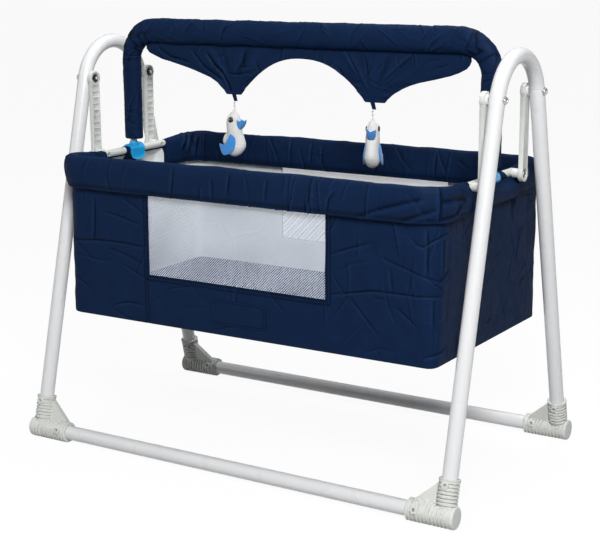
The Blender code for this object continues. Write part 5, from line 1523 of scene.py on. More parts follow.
        # The creases and window seams also go on as painted shade in their grooves and a painted highlight on
        # their ridges.
        draft.shell(self.swollen(face), self.swollen(back), keep, relief=folds)
        piece = draft.piece(f"cover_{end}_outside", self.finishes.navy, ALL_SMOOTH)
        settle(piece, "basket", Slot.NAVY, f"cover_{end}")
        draft = Draft()
        inner, normal, along, up = sheet.layer(self.lining_inset)
        ripple = 0.0002 * Ripples(0.07, seed + 7).at(inner) + self.hem(up)
        draft.shell(self.swollen(inner - normal * ripple[..., None]),
                    self.swollen(inner - normal * (ripple + self.lining_cloth)[..., None]), keep)
        lining = draft.piece(f"lining_{end}", self.finishes.lining, ALL_SMOOTH)
        settle(lining, "basket", Slot.NAVY)
        LOG.info("cover %s: outside and lining", end)

    def build_net(self, end: str) -> None:
        """Knit one mesh window of crossing strands."""
        low, high = self.places.windows[end]
        pitch, strand = self.net_pitch, self.net_strand * math.sqrt(2)
        pitch *= 1.0 if end == "front" else self.back_net
        columns = int((high.x - low.x + 0.008) / pitch) // 2 * 2
        rows = int((high.z - low.z + 0.010) / pitch) // 2 * 2
        i, j = np.meshgrid(np.arange(columns + 1), np.arange(rows + 1), indexing="ij")
        knots = (i + j) % 2 == 0
        x = (low.x + high.x) / 2 + (i - columns / 2) * pitch
        z = low.z - 0.004 + j * pitch
        number = np.full(i.shape, -1)
        number[knots] = np.arange(knots.sum())
        from_edge = np.minimum(np.minimum(x - low.x, high.x - x), z - low.z)[knots]
        sag = 0.0016 * Ripples(0.16, 51).at(np.stack([x[knots], 0 * x[knots], z[knots]], axis=1))
        y = ENDS[end] * (self.half_width - self.net_inset + sag * unit(from_edge / 0.03))
        points = np.stack([np.stack([x[knots] + dx, y, z[knots] + dz], axis=1) for dx, dz in (
            (strand, 0.0), (0.0, strand), (-strand, 0.0), (0.0, -strand))], axis=1)
        draft = Draft()
        index = draft.add_points(points)
        faces = [index]
        for step, (first, second, third, fourth) in ((1, (0, 3, 2, 1)), (-1, (1, 2, 3, 0))):
            start = number[:-1, :-1] if step == 1 else number[1:, :-1]
            stop = number[1:, 1:] if step == 1 else number[:-1, 1:]
            linked = (start >= 0) & (stop >= 0)
            p, q = start[linked], stop[linked]
            faces.append(np.stack([index[p, first], index[q, second], index[q, third], index[p, fourth]],
                                  axis=1))
        draft.thicken(np.concatenate(faces), points + np.array((0.0, -ENDS[end] * self.net_cloth, 0.0)))
        # The back window takes the darker copy of the yarn: painted shade.
        finish = self.finishes.net if end == "front" else self.finishes.shaded_net
        net = draft.piece(f"mesh_window_{end}_net", finish, SOFT_DEG)
        settle(net, "basket", Slot.NET, f"mesh_window_{end}")
        LOG.info("mesh window %s", end)

    def stand_out(self, along: Array, up: Array) -> Array:
        """Give how far an end side stands out under the hanger bar.

        Args:
            along: How far along the end each place is.
            up: How high each place is.

        Returns:
            The distance from the plain cloth.
        """
        low, high = self.places.cover_high.z, self.places.bar_z - self.places.bar_radius
        shares = np.array(self.apron_shares)
        share = np.interp((up - low) / (high - low), shares[:, 0], shares[:, 1], left=0.0)
        beside = np.where(up < low, 1.0, eased((self.rise_half - np.abs(along)) / self.beside))
        return self.apron * share * beside * (1.0 - 0.16 * np.cos(along / self.join_y * math.pi / 2))

    def against_bar(self, points: Array, inset: float) -> Array:
        """Draw the top of an end side in until it lies against the hanger bar.

        Args:
            points: The cloth's points.
            inset: How far the layer lies behind the cloth's outer face.

        Returns:
            The points with those near the bar moved.
        """
        out = points.copy()
        near = eased((points[..., 2] - self.places.bar_z + self.places.bar_radius) / self.draw_in + 1.0)
        beside = np.sign(points[..., 0]) * (self.places.bar_x + self.bar_reach - inset)
        out[..., 0] += (beside - points[..., 0]) * near
        return out

    def build_end_side(self, side: str) -> None:
        """Sew one end side, raised between the rolls with a tab up to the hanger bar."""
        low, high = self.places.cover_low.z, self.places.cover_high.z
        bar = self.places.bar_z - self.places.bar_radius
        half = self.join_y
        columns = runs((-half, 38), (-self.rise_half, 48), (-self.tab_half, 23), (self.tab_half, 48),
                       (self.rise_half, 38), (half, 0))
        rows = runs((low, 145), (high, 32), (bar - 0.005, 3), (bar, 3), (bar + self.bar_lap, 0))
        along, up = np.meshgrid(columns, rows)
        middle_y = np.abs(along[:-1, :-1] + along[1:, 1:]) / 2
        middle_z = (up[:-1, :-1] + up[1:, 1:]) / 2
        raised = middle_y < self.rise_half
        behind = raised & (middle_z < bar - 0.005) | (middle_y < self.tab_half) & (middle_z < bar)
        seed = self.end_seeds[side]
        flat = np.stack([np.full_like(along, SIDES[side] * self.half_length), along, up], axis=-1)
        out = outward(side)
        hem = self.hem(up)
        creases = self.end_creases[side].over((-half, low), (half, high - 0.02))
        apron = self.stand_out(along, up)
        folds = creased(creases, along, up)
        folds -= 0.0012 * bell(up - high - 0.001, 0.0022)
        fade = self.near_join(along, half)
        folds *= fade
        relief = self.relief(flat, up, seed, folds) * fade
        layers = (("outside", 0.0, self.outer_cloth, relief, self.finishes.navy, (middle_z < high) | raised),
                  ("lining", self.lining_inset, self.lining_cloth, 0.0002 * Ripples(0.07, seed).at(flat),
                   self.finishes.lining, (middle_z < high) | behind))
        for layer, inset, cloth, relief, finish, keep in layers:
            draft = Draft()
            face = flat + out * (relief + apron - hem - inset)[..., None]
            # The outside also takes the creases as painted shade in their grooves and a painted highlight on
            # their ridges.
            draft.shell(self.against_bar(self.swollen(face), inset),
                        self.against_bar(self.swollen(face - out * cloth), inset + cloth), keep,
                        relief=folds if layer == "outside" else None)
            piece = draft.piece(f"cover_{side}_{layer}", finish, ALL_SMOOTH)
            settle(piece, "basket", Slot.NAVY, *([f"cover_{side}"] if layer == "outside" else []))
        LOG.info("cover %s: outside and lining", side)

    def build_tab_loop(self, side: str) -> None:
        """Loop the end side's tab round the hanger bar, a little wider than the clamp on it."""
        turn = np.linspace(-math.pi / 2, math.pi * 1.5, 49)[:-1]
        inner = self.places.bar_radius + 0.0001
        outer = inner + self.loop_cloth
        top_end, low_end = self.loop_ends[side]
        lean = (low_end - top_end) * (1.0 - np.sin(turn + self.loop_slant)) / 2
        longest = self.loop_start + top_end + lean
        rings = np.array([np.stack([np.cos(turn), share * longest - self.loop_start, np.sin(turn)], axis=1)
                          for share in np.linspace(0.0, 1.0, 28)])
        centre = self.places.on_bar(side)
        spread = np.array((outer, 1.0, outer)) * rings + centre
        spread += 0.0004 * Ripples(0.012, 5).at(spread)[..., None] * rings * np.array((1.0, 0.0, 1.0))
        draft = Draft()
        draft.pipe(spread, np.array((inner, 1.0, inner)) * rings + centre)
        loop = draft.piece(f"tab_loop_{side}", self.finishes.navy, SOFT_DEG)
        settle(loop, "basket", Slot.NAVY)

    def build_tab_strip(self, side: str) -> None:
        """Sew the navy strip that runs down the lining from the tab."""
        top = self.places.bar_z - self.places.bar_radius
        wide, tall = self.strip
        across, up = np.meshgrid(np.linspace(-wide / 2, wide / 2, 24), np.linspace(top - tall, top, 36))
        x = self.half_length - self.lining_inset - self.lining_cloth - 0.0004
        face = np.stack([np.full_like(across, SIDES[side] * x), across, up], axis=-1)
        face[..., 0] += SIDES[side] * (self.stand_out(across, up)
                                       - 0.0003 * (1.0 + Ripples(0.02, 77).at(face)))
        back = face - outward(side) * self.strip_cloth
        inset = self.half_length - x
        draft = Draft()
        draft.shell(self.against_bar(self.swollen(face), inset + 0.0004),
                    self.against_bar(self.swollen(back), inset + 0.0004 + self.strip_cloth))
        strip = draft.piece(f"tab_strip_{side}", self.finishes.navy, SOFT_DEG)
        settle(strip, "basket", Slot.NAVY)

    def build_patch(self) -> None:
        """Sew the plain patch under the front window, with a row of stitches inside its edge."""
        low, high = np.array(self.patch_low), np.array(self.patch_high)
        middle, half = (low + high) / 2, (high - low) / 2
        ring = rounded(half[0], half[1], self.patch_corner, 240)
        y = -self.half_width
        rows, backs, folds = [], [], []
        for inset, height, fold in self.patch_edge:
            flat = middle + ring * (half - inset) / half
            rows.append(np.stack([flat[:, 0], np.full(len(flat), y - height), flat[:, 1]], axis=1))
            backs.append(rows[-1] + self.patch_cloth * BACK)
            # The third column only paints shade and highlight into the colour; it does not move the cloth.
            folds.append(np.full(len(flat), fold))
        draft = Draft()
        draft.shell(np.array(rows), np.array(backs), wrap=True, capped=True, relief=np.array(folds))
        patch = draft.piece("front_patch", self.finishes.navy, SOFT_DEG)
        settle(patch, "basket", Slot.NAVY)

    def build_bottom(self) -> None:
        """Sew the bottom cloth under the base board, drawn smooth and turned up a little at its edge."""
        low = self.places.cover_low.z
        rings, tops = [], []
        for inset, lift in self.bottom_edge:
            corner = max(self.corner - inset, self.corner_least)
            ring = rounded(self.half_length - inset, self.half_width - inset, corner, 360)
            rings.append(np.column_stack([ring, np.full(len(ring), low + lift)]))
            tops.append(rings[-1] + self.bottom_cloth * UP)
        draft = Draft()
        bottom = np.array(rings)
        bottom[..., 2] += 0.0005 * unit(Ripples(0.06, 3).at(bottom))
        draft.shell(self.swollen(bottom), self.swollen(np.array(tops)), wrap=True, capped=True)
        piece = draft.piece("cover_bottom_cloth", self.finishes.navy, SOFT_DEG)
        settle(piece, "basket", Slot.NAVY, "cover_bottom")
        LOG.info("cover bottom")


@dataclass
class Rim:
    """The hanger bars, the padded rolls over the rim rails and the rails themselves."""

    places: Places
    finishes: Finishes
    bar_wall: float = 0.0011
    bar_length: float = 0.228
    hole_form: Curve = ((-0.012, 0.0050), (0.0, 0.0050), (0.0001, 0.004), (0.012, 0.004))
    rail_y: float = 0.240
    corner_radius: float = 0.050
    corner_push: dict[str, tuple[float, float]] = field(default_factory=lambda: {
        "front": (0.0075, 0.0), "back": (0.002, 0.004)})
    wedge: float = 0.013
    wedge_run: float = 0.07
    mouth_y: float = 0.1143
    roll_top: float = 0.652
    roll_bottom: float = 0.580
    roll_thickness: float = 0.036
    puff: float = 0.003
    mouth_run: float = 0.120
    mouth_drop: float = 0.0082
    rail_radius: float = 0.0073
    girth: float = 0.19
    section_sides: int = 80
    full_run: float = 0.40
    mouth_thinning: float = 0.12
    push_from_corner: float = 0.0207
    push_run: float = 0.03
    facing: float = 0.25
    gather: float = 0.0012
    gather_run: float = 0.05
    seam_heights: tuple[float, float] = (0.0065, 0.0100)
    seam_depth: float = 0.0014
    seam_width: float = 0.0011
    stitch_pitch: float = 0.0034
    seeds: dict[str, int] = field(default_factory=lambda: {"front": 131, "back": 151})
    section: Curve = ((0.0, 1.0), (0.56, 0.93), (0.90, 0.66), (1.0, 0.30), (0.88, 0.04), (0.45, -0.005),
                      (0.0, 0.0))
    front_creases: tuple[Crease, ...] = (
        Crease(((-0.154, 0.645), (-0.153, 0.62), (-0.156, 0.59))), Crease(((-0.010, 0.645), (-0.012, 0.60))),
        Crease(((0.082, 0.64), (0.080, 0.595))), Crease(((0.2395, 0.6285), (0.226, 0.611), (0.2236, 0.583))),
        Crease(((-0.052, 0.63), (-0.050, 0.59))),
        Crease(((0.452, 0.6237), (0.480, 0.6243), (0.511, 0.6214), (0.529, 0.6174)), 0.0034, 0.004),
        Crease(((0.453, 0.5893), (0.495, 0.5953), (0.511, 0.6082), (0.531, 0.6158)), 0.0030, 0.0036),
        Crease(((0.287, 0.583), (0.331, 0.601), (0.385, 0.6177), (0.4275, 0.631)), 0.0022, 0.0036),
        Crease(((0.3855, 0.583), (0.417, 0.5975), (0.449, 0.612)), 0.0020, 0.0036),
        Crease(((0.451, 0.65), (0.451, 0.585)), 0.0030, 0.0022),
    )
    back_creases: tuple[Crease, ...] = (
        Crease(((-0.413, 0.65), (-0.412, 0.585)), 0.0030, 0.0022), Crease(((-0.366, 0.61), (-0.366, 0.585))),
        Crease(((-0.222, 0.650), (-0.202, 0.622), (-0.191, 0.594))), Crease(((-0.158, 0.65), (-0.158, 0.59))),
        Crease(((-0.100, 0.645), (-0.101, 0.595))), Crease(((-0.071, 0.64), (-0.070, 0.59))),
        Crease(((0.072, 0.64), (0.073, 0.59))), Crease(((0.123, 0.650), (0.144, 0.623), (0.167, 0.602))),
        Crease(((0.227, 0.645), (0.226, 0.59))), Crease(((0.281, 0.633), (0.311, 0.613)), 0.0018),
        Crease(((-0.452, 0.650), (-0.462, 0.625), (-0.478, 0.600)), 0.0040, 0.0045),
        Crease(((-0.470, 0.650), (-0.486, 0.628), (-0.505, 0.612)), 0.0034, 0.0035),
        Crease(((-0.436, 0.640), (-0.444, 0.612), (-0.448, 0.588)), 0.0034, 0.0035),
    )

    def build(self) -> None:
        """Build and dress the rim."""
        for side in SIDES:
            self.build_bar(side)
        for end in ENDS:
            self.build_roll(end)
            dress(frame["nodes"][f"rim_rail_{end}"], self.finishes.paint)

    def build_bar(self, side: str) -> None:
        """Make one hanger bar, with a hole towards the basket's middle at each pivot."""
        half = self.bar_length / 2
        start = np.array((SIDES[side] * self.places.bar_x, -half, self.places.bar_z))
        axis = BACK
        edge = 0.0006
        outer = [(0.0, self.places.bar_radius - edge), (edge / 3, self.places.bar_radius - edge / 3),
                 (edge, self.places.bar_radius)]
        outer += [(at, self.places.bar_radius) for at in np.linspace(0.004, self.bar_length - 0.004, 30)]
        outer += [(self.bar_length - at, radius) for at, radius in outer[2::-1]]
        inner = [(at, self.places.bar_radius - self.bar_wall) for at, _ in outer]
        draft = Draft()
        draft.pipe(turned(np.array(outer), start, axis, 40), turned(np.array(inner), start, axis, 40))
        bar = draft.piece(f"hanger_bar_{side}_tube", self.finishes.link, MOULD_DEG)
        tools = []
        for end in ENDS:
            centre = self.places.pivot(side, end, self.places.bar_x, True)
            tools.append(solid_turned("hole", np.array(self.hole_form), centre, -outward(side), 28,
                                      self.finishes.paint))
        carve(bar, tools)
        settle(bar, "basket", Slot.GREY, f"hanger_bar_{side}")
        LOG.info("hanger bar %s", side)

    def path(self, end: str) -> Array:
        """Give the roll's path round both corners, points about 3.5 mm apart."""
        x, y, z, sign = self.places.bar_x, self.rail_y, self.places.bar_z, ENDS[end]
        first, last = np.array((-x, sign * self.mouth_y, z)), np.array((x, sign * self.mouth_y, z))
        left, right = np.array((-x, sign * y, z)), np.array((x, sign * y, z))
        line = np.concatenate([first[None], bend(left, first, right, self.corner_radius, 24),
                               bend(right, left, last, self.corner_radius, 24), last[None]])
        return resample(line, 560)

    def build_roll(self, end: str) -> None:
        """Sew one padded roll, with its seams, its creases and a mouth at each bar."""
        path = self.path(end)
        along = lengths_along(path)
        station = along - along[-1] / 2
        from_mouth = np.minimum(along, along[-1] - along)
        half = list(self.section)
        loop = smooth_loop(np.array(half + [(-u, v) for u, v in half[-2:0:-1]]), self.section_sides)
        rings = rings_along(path, UP, self.sections(path, loop, station, from_mouth, end))
        normal = np.cross(np.gradient(rings, axis=0), np.roll(rings, -1, axis=1) - np.roll(rings, 1, axis=1))
        normal /= np.linalg.norm(normal, axis=-1)[..., None]
        normal *= np.sign(((rings - path[:, None]) * normal).sum(axis=-1).mean())
        folds = self.folds(rings, normal, station, end)
        place = np.broadcast_to(station[:, None], folds.shape)
        gather = self.gather * unit(1.0 - from_mouth / self.gather_run)[:, None] * np.sin(
            np.arange(self.section_sides)[None] * FULL_TURN * 5 / self.section_sides + place * 60.0)
        rings = rings + normal * (folds + self.swell(rings, end) + gather)[..., None]
        start = np.arctan2(loop[0, 1] - 0.7, loop[0, 0])
        turn = start + np.sign(np.cross(loop[0] - (0, 0.5), loop[1] - (0, 0.5))) * np.linspace(
            0, FULL_TURN, self.section_sides, endpoint=False)
        inner = rings_along(path, UP, on_circle(turn, self.rail_radius))
        # The creases and seams also go on as painted shade in their grooves and a painted highlight on their
        # ridges.
        roll = Draft().pipe(rings, inner, folds).piece(f"rim_roll_{end}_padding", self.finishes.navy,
                                                       ALL_SMOOTH)
        settle(roll, "basket", Slot.NAVY, f"rim_roll_{end}")
        LOG.info("rim roll %s", end)

    def sections(self, path: Array, loop: Array, station: Array, from_mouth: Array, end: str) -> Array:
        """Give a roll's section at each point of its path.

        Args:
            path: The path's points.
            loop: The plain section, from -1 to 1 across and 0 to 1 up.
            station: Each point's distance along the path from its middle.
            from_mouth: Each point's distance from the nearer mouth.
            end: Which roll it is.

        Returns:
            The sections: thinner at the mouths, fuller in the middle and flared outwards at the corners.
        """
        fullness = self.puff * unit(1.0 - (np.abs(station) / self.full_run) ** 2)
        closing = unit(1.0 - from_mouth / self.mouth_run) ** 1.15
        wide = (self.roll_thickness + fullness) / 2 * (1.0 - self.mouth_thinning * closing)
        tall = self.roll_top - self.roll_bottom + 0.5 * fullness - self.mouth_drop * closing
        low = self.roll_bottom - self.places.bar_z
        sections = np.stack([loop[None, :, 0] * wide[:, None], low + loop[None, :, 1] * tall[:, None]],
                            axis=-1)
        away = np.linalg.norm(np.abs(path[:, :2]) - (self.places.bar_x, self.rail_y), axis=1)
        outer = np.clip(loop[None, :, 0] * ENDS[end], -1.0, 1.0) * 0.5 + 0.5
        flare = self.wedge * bell(away, self.wedge_run)
        push = np.array(self.corner_push[end])[(path[:, 0] > 0).astype(int)]
        push = push * bell(away - self.push_from_corner, self.push_run)
        sections[..., 0] += ENDS[end] * (flare[:, None] * (loop[None, :, 1] - 0.35) + push[:, None]) * outer
        return sections

    def folds(self, rings: Array, normal: Array, station: Array, end: str) -> Array:
        """Give the height of a roll's creases and of the stitched seam along its foot.

        Args:
            rings: The roll's points.
            normal: The way each one faces.
            station: Each ring's distance along the roll from its middle.
            end: Which roll it is.

        Returns:
            The height at each point.
        """
        up, sign = rings[..., 2], ENDS[end]
        place = np.broadcast_to(station[:, None], up.shape)
        sideways = normal[..., 0] * np.sign(rings[..., 0]) > self.facing
        sideways &= np.abs(rings[..., 0]) > self.places.bar_x
        outside = (normal[..., 1] * sign > self.facing) | sideways
        known = self.front_creases if end == "front" else self.back_creases
        folds = creased(known, place, up) * (outside if end == "front" else ~outside)
        girth = np.broadcast_to(np.arange(self.section_sides) * self.girth / self.section_sides, up.shape)
        fine = Scatter(self.seeds[end] + 2, 120, (80.0, 100.0, 65.0, -50.0), (0.02, 0.07))
        folds += creased(fine.over((station[0], 0.0), (station[-1], self.girth)), place, girth)
        stitch = 0.7 + 0.3 * np.sin(place / self.stitch_pitch * FULL_TURN)
        for height in self.seam_heights:
            folds -= self.seam_depth * bell(up - self.roll_bottom - height, self.seam_width) * stitch
        return folds

    def swell(self, rings: Array, end: str) -> Array:
        """Give the height of a roll's soft swells, which fade out towards its foot."""
        seed = self.seeds[end]
        above = np.clip((rings[..., 2] - self.roll_bottom) / 0.02, 0.2, 1.0)
        broad = 0.0010 * Ripples(0.11, seed).at(rings * np.array((1.0, 1.0, 0.45)))
        return (broad + 0.0004 * Ripples(0.04, seed + 1).at(rings)) * above


@dataclass
class Bedding:
    """The mattress on the base board."""

    places: Places
    finishes: Finishes
    half_length: float = 0.441
    half_width: float = 0.234
    low_gap: float = 0.0006
    thickness: float = 0.034
    crown: float = 0.006
    corner: float = 0.022
    corner_least: float = 0.012
    pull: float = 0.006
    sides: Curve = (
        (0.016, 0.0), (0.006, 0.06), (0.001, 0.28), (0.0, 0.5), (0.001, 0.72), (0.006, 0.94), (0.014, 1.0),
        (0.03, 1.0), (0.06, 1.0), (0.10, 1.0), (0.15, 1.0), (0.20, 1.0))

    def build(self) -> None:
        """Build and dress the bedding."""
        dress(frame["nodes"]["base_board"], self.finishes.board)
        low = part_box("base_board")[1].z + self.low_gap
        rings = []
        for inset, rise in self.sides:
            corner = max(self.corner - inset, self.corner_least)
            ring = rounded(self.half_length - inset, self.half_width - inset, corner, 280)
            along = np.cos(math.pi / 2 * ring[:, 0] / self.half_length)
            beside = np.cos(math.pi / 2 * ring[:, 1] / self.half_width)
            squeeze = self.pull * math.sin(math.pi * np.clip(rise, 0.1, 0.9))
            outermost = np.abs(ring / (self.half_length, self.half_width)) ** 4
            ring = ring - np.sign(ring) * squeeze * np.stack([beside, along], axis=1) * outermost
            crown = self.crown * np.sqrt(np.clip(along * beside, 0.0, 1.0)) * (rise == 1.0)
            rings.append(np.column_stack([ring, low + self.thickness * rise + crown]))
        mattress = Draft().rod(np.array(rings)).piece("mattress_pad", self.finishes.cotton, SOFT_DEG)
        settle(mattress, "basket", Slot.COTTON, "mattress")
        LOG.info("mattress")


@dataclass
class Arch:
    """The toy arch: clamps, sleeve over the tube, scalloped pelmet and its straps."""

    places: Places
    finishes: Finishes
    clamp_half: float = 0.0245
    clamp_wall: float = 0.0052
    clamp_wrap_deg: float = 236.0
    lip_drop: float = 0.0230
    lip_curve: float = 0.36
    lip_taper: float = 0.10
    nub_y: float = 0.014
    lip_flare: float = 0.0024
    lip_wall: float = 0.003
    panel_x: float = 0.450
    panel_cloth: float = 0.004
    collar_radius: float = 0.0092
    collar_height: float = 0.005
    spigot_radius: float = 0.0064
    spigot_height: float = 0.034
    spigot_tip: float = 0.0035
    nub_radius: float = 0.0032
    nub_rise: float = 0.0016
    bar_play: float = 0.0006
    top_axis: float = 0.912
    foot_z: float = 0.660349
    bend_radius: float = 0.068
    leg_width: float = 0.046
    leg_shift: float = 0.0020
    top_width: float = 0.057
    depth: float = 0.036
    tube_radius: float = 0.0088
    girth: float = 0.15
    sleeve_sides: int = 64
    mouth_run: float = 0.006
    mouth_size: float = 0.90
    sleeve_creases: Scatter = Scatter(203, 230, (28.0, -28.0, 60.0, -60.0), (0.02, 0.07))
    sleeve_fold_share: float = 0.55
    bend_reach: float = 0.045
    bend_fold: float = 0.0042
    pelmet_half: float = 0.410
    pelmet_top_z: float = 0.8832
    pelmet_cloth: float = 0.0014
    drop_flat: float = 0.036
    drop_depth: float = 0.1065
    crown_depth: float = 0.0215
    end_depth: float = 0.012
    strap_width: float = 0.010
    strap_length: float = 0.0135
    strap_overlap: float = 0.010
    strap_lean: float = 0.0035
    strap_cloth: float = 0.0030
    inner_power: float = 2.3
    pelmet_creases: tuple[Crease, ...] = (
        Crease(((-0.2395, 0.8674), (-0.221, 0.8422), (-0.1982, 0.8253), (-0.1817, 0.7984), (-0.1736, 0.7805)),
               0.0034, 0.0030),
        Crease(((-0.2819, 0.8736), (-0.2486, 0.8367), (-0.1983, 0.8074), (-0.1788, 0.7816)), 0.0020, 0.0030),
        Crease(((-0.1368, 0.8782), (-0.1426, 0.8495), (-0.159, 0.8268))),
        Crease(((-0.1812, 0.8237), (-0.1591, 0.8213), (-0.1204, 0.8284))),
        Crease(((-0.3711, 0.8731), (-0.3432, 0.8558), (-0.2872, 0.8442)), 0.0018, 0.0030),
        Crease(((0.1173, 0.8883), (0.1344, 0.8596), (0.1587, 0.8228)), 0.0020, 0.0030),
        Crease(((0.2941, 0.8939), (0.2669, 0.8685), (0.2136, 0.8252)), 0.0018),
        Crease(((0.1656, 0.8753), (0.1731, 0.8339)), 0.0018),
    )
    fine_creases: Scatter = Scatter(233, 60, (60.0, -60.0, 90.0, 10.0), (0.02, 0.05))
    hem_start: float = 0.955
    hem_rows: tuple[float, ...] = (0.965, 0.975, 0.985, 0.993, 1.0)
    hem_rise: float = 0.0009
    hem_dip: float = 0.0003
    hem_dip_width: float = 0.006
    pelmet_wave: float = 0.0012
    rays: float = 9.0
    ray_depth: float = 0.0042
    ray_lift: float = 0.012
    ray_reach: float = 0.075
    left_shares: Curve = (
        (0.0, 0.0), (0.04, 0.10), (0.1, 0.154), (0.2, 0.244), (0.302, 0.291), (0.5, 0.406), (0.6, 0.471),
        (0.697, 0.544), (0.794, 0.622), (0.891, 0.74), (0.96, 0.90), (1.0, 1.0))
    right_shares: Curve = (
        (0.0, 0.0), (0.02, 0.10), (0.051, 0.176), (0.136, 0.272), (0.222, 0.34), (0.395, 0.436),
        (0.571, 0.523), (0.66, 0.586), (0.749, 0.668), (0.839, 0.783), (0.929, 0.931), (0.95, 1.0),
        (1.0, 1.0))

    def build(self) -> None:
        """Build and dress the arch."""
        dress(frame["nodes"]["arch_tube"], self.finishes.paint)
        for side in SIDES:
            self.build_clamp(side)
        self.build_sleeve()
        self.build_pelmet()
        for side in SIDES:
            self.build_strap(side)

    def build_clamp(self, side: str) -> None:
        """Mould one clamp: a hook over the bar with a lip inside the end panel, a collar and a spigot."""
        centre = self.places.on_bar(side)
        inner = self.places.bar_radius + self.bar_play
        outer = inner + self.clamp_wall - self.bar_play / 2
        turn = np.radians(np.linspace(0.0, self.clamp_wrap_deg, 49))
        hook = np.concatenate([on_circle(turn, outer), on_circle(turn, inner)[::-1]])
        panel = self.places.bar_x - self.panel_x + self.panel_cloth + 0.0003
        under = self.lip_drop - self.places.bar_radius
        drop = np.linspace(0.0, 1.0, 12)
        line = np.stack([panel + self.lip_flare * drop ** 3, -self.places.bar_radius - under * drop], axis=1)
        tip = line[-1] + np.array(((0.0008, -0.0007), (self.lip_wall - 0.0008, -0.0007)))
        outline = np.concatenate([hook, line, tip, line[::-1] + (self.lip_wall, 0.0)])
        inward = np.array((-float(SIDES[side]), 0.0, 0.0))
        rings = []
        for share in np.sin(np.linspace(-math.pi / 2, math.pi / 2, 41)):
            ring = outline.copy()
            below = unit((-self.places.bar_radius - ring[:, 1]) / under)
            ring[:, 1] += below * under * self.lip_curve * abs(share) ** 3
            wide = self.clamp_half * (1.0 - self.lip_taper * np.sqrt(below))
            rings.append(centre + ring[:, :1] * inward + ring[:, 1:] * UP + (wide * share)[:, None] * BACK)
        draft = Draft()
        draft.rod(np.array(rings))
        clamp = draft.piece(f"arch_clamp_{side}_moulding", self.finishes.blue, MOULD_DEG)
        top = outer + self.collar_height
        collar, foot, tip = self.collar_radius, self.collar_radius + 0.002, top + self.spigot_height
        spigot = self.spigot_radius
        post = fillet([(self.places.bar_radius, foot), (outer, foot), (outer + 0.002, collar), (top, collar),
                       (top, spigot), (tip - 0.004, spigot), (tip, self.spigot_tip)], 0.001)
        low, high, wide = outer - 0.001, outer + self.nub_rise, self.nub_radius
        nub = fillet([(low, wide), (high, wide), (high, 0.0006)], 0.0010)
        carve(clamp, [solid_turned("post", post, centre, UP, 40, self.finishes.blue),
                      solid_turned("nub", nub, centre + self.nub_y * BACK, UP, 24, self.finishes.blue)],
              "UNION")
        clamp.data.set_sharp_from_angle(angle=math.radians(MOULD_DEG))
        settle(clamp, "basket", Slot.BLUE, f"arch_clamp_{side}")
        LOG.info("arch clamp %s", side)

    def path(self) -> Array:
        """Give the arch's line from one foot over the top to the other."""
        x = self.places.bar_x
        left, right = np.array((-x, 0.0, self.foot_z)), np.array((x, 0.0, self.foot_z))
        left_top, right_top = np.array((-x, 0.0, self.top_axis)), np.array((x, 0.0, self.top_axis))
        line = np.concatenate([left[None], bend(left_top, left, right_top, self.bend_radius, 28),
                               bend(right_top, left_top, right, self.bend_radius, 28), right[None]])
        return resample(line, 640)

    def build_sleeve(self) -> None:
        """Sew the sleeve: an oval that wrinkles along the top and folds over itself at the bends."""
        path, sides = self.path(), self.sleeve_sides
        along = lengths_along(path)
        leg_run = self.top_axis - self.bend_radius - self.foot_z
        bend_run = self.bend_radius * math.pi / 2
        from_end = np.minimum(along, along[-1] - along)
        on_top = unit((from_end - leg_run) / bend_run)
        width = self.leg_width + (self.top_width - self.leg_width) * on_top
        mouth = unit(from_end / self.mouth_run)
        around = circle(1.0, sides)
        sections = around[None] * np.stack([width / 2, np.full_like(width, self.depth / 2)], axis=1)[:, None]
        sections *= (self.mouth_size + (1.0 - self.mouth_size) * np.sqrt(mouth * (2 - mouth)))[:, None, None]
        rings = rings_along(path, BACK, sections)
        normal = rings - path[:, None]
        normal /= np.linalg.norm(normal, axis=-1)[..., None]
        rings[..., 0] += (self.leg_shift * (1.0 - on_top) * (path[:, 0] < 0))[:, None]
        station = np.broadcast_to(along[:, None], rings.shape[:2])
        girth = np.broadcast_to(np.arange(sides) * self.girth / sides, station.shape)
        folds = creased(self.sleeve_creases.over((0.0, 0.0), (along[-1], self.girth)), station, girth)
        flatways = np.stack([station, rings[..., 1] * 0.6, rings[..., 2] * 0.6], axis=-1)
        bends = bell(from_end - leg_run - bend_run * 0.45, self.bend_reach)[:, None]
        folds -= self.bend_fold * bends * Ripples(0.030, 204).valleys(flatways, 8.0)
        swell = 0.0006 * Ripples(0.08, 201).at(rings) + 0.0003 * Ripples(0.02, 202).at(rings)
        # The cloth moves by only part of the creases' depth, while the painted crease shade and highlight
        # take their full depth.
        rings = rings + normal * ((self.sleeve_fold_share * folds
                                   + swell) * unit(from_end / 0.01)[:, None])[..., None]
        bore = rings_along(path, BACK, around * self.tube_radius)
        sleeve = Draft().pipe(rings, bore, folds).piece("arch_sleeve_padding", self.finishes.navy, ALL_SMOOTH)
        settle(sleeve, "arch", Slot.NAVY, "arch_sleeve")
        LOG.info("arch sleeve")

    def pelmet_depth(self, x: Array) -> Array:
        """Give the pelmet's depth at places along it: deep at the two drops, with a crown between them."""
        left, right = self.places.toy_x["left"], self.places.toy_x["right"]
        crown = (left + right) / 2
        share = np.abs(x - crown) / (right - crown - self.drop_flat / 2)
        deeper = (self.drop_depth - self.crown_depth) * np.minimum(share, 1.0) ** self.inner_power
        depth = self.crown_depth + deeper
        for place, shares in ((left, self.left_shares), (right, self.right_shares)):
            edge = abs(place) + self.drop_flat / 2
            out = unit((self.pelmet_half - np.abs(x)) / (self.pelmet_half - edge))
            outside = self.end_depth + (self.drop_depth - self.end_depth) * np.interp(out, *zip(*shares))
            depth = np.where(x * np.sign(place) > abs(place), outside, depth)
        return depth

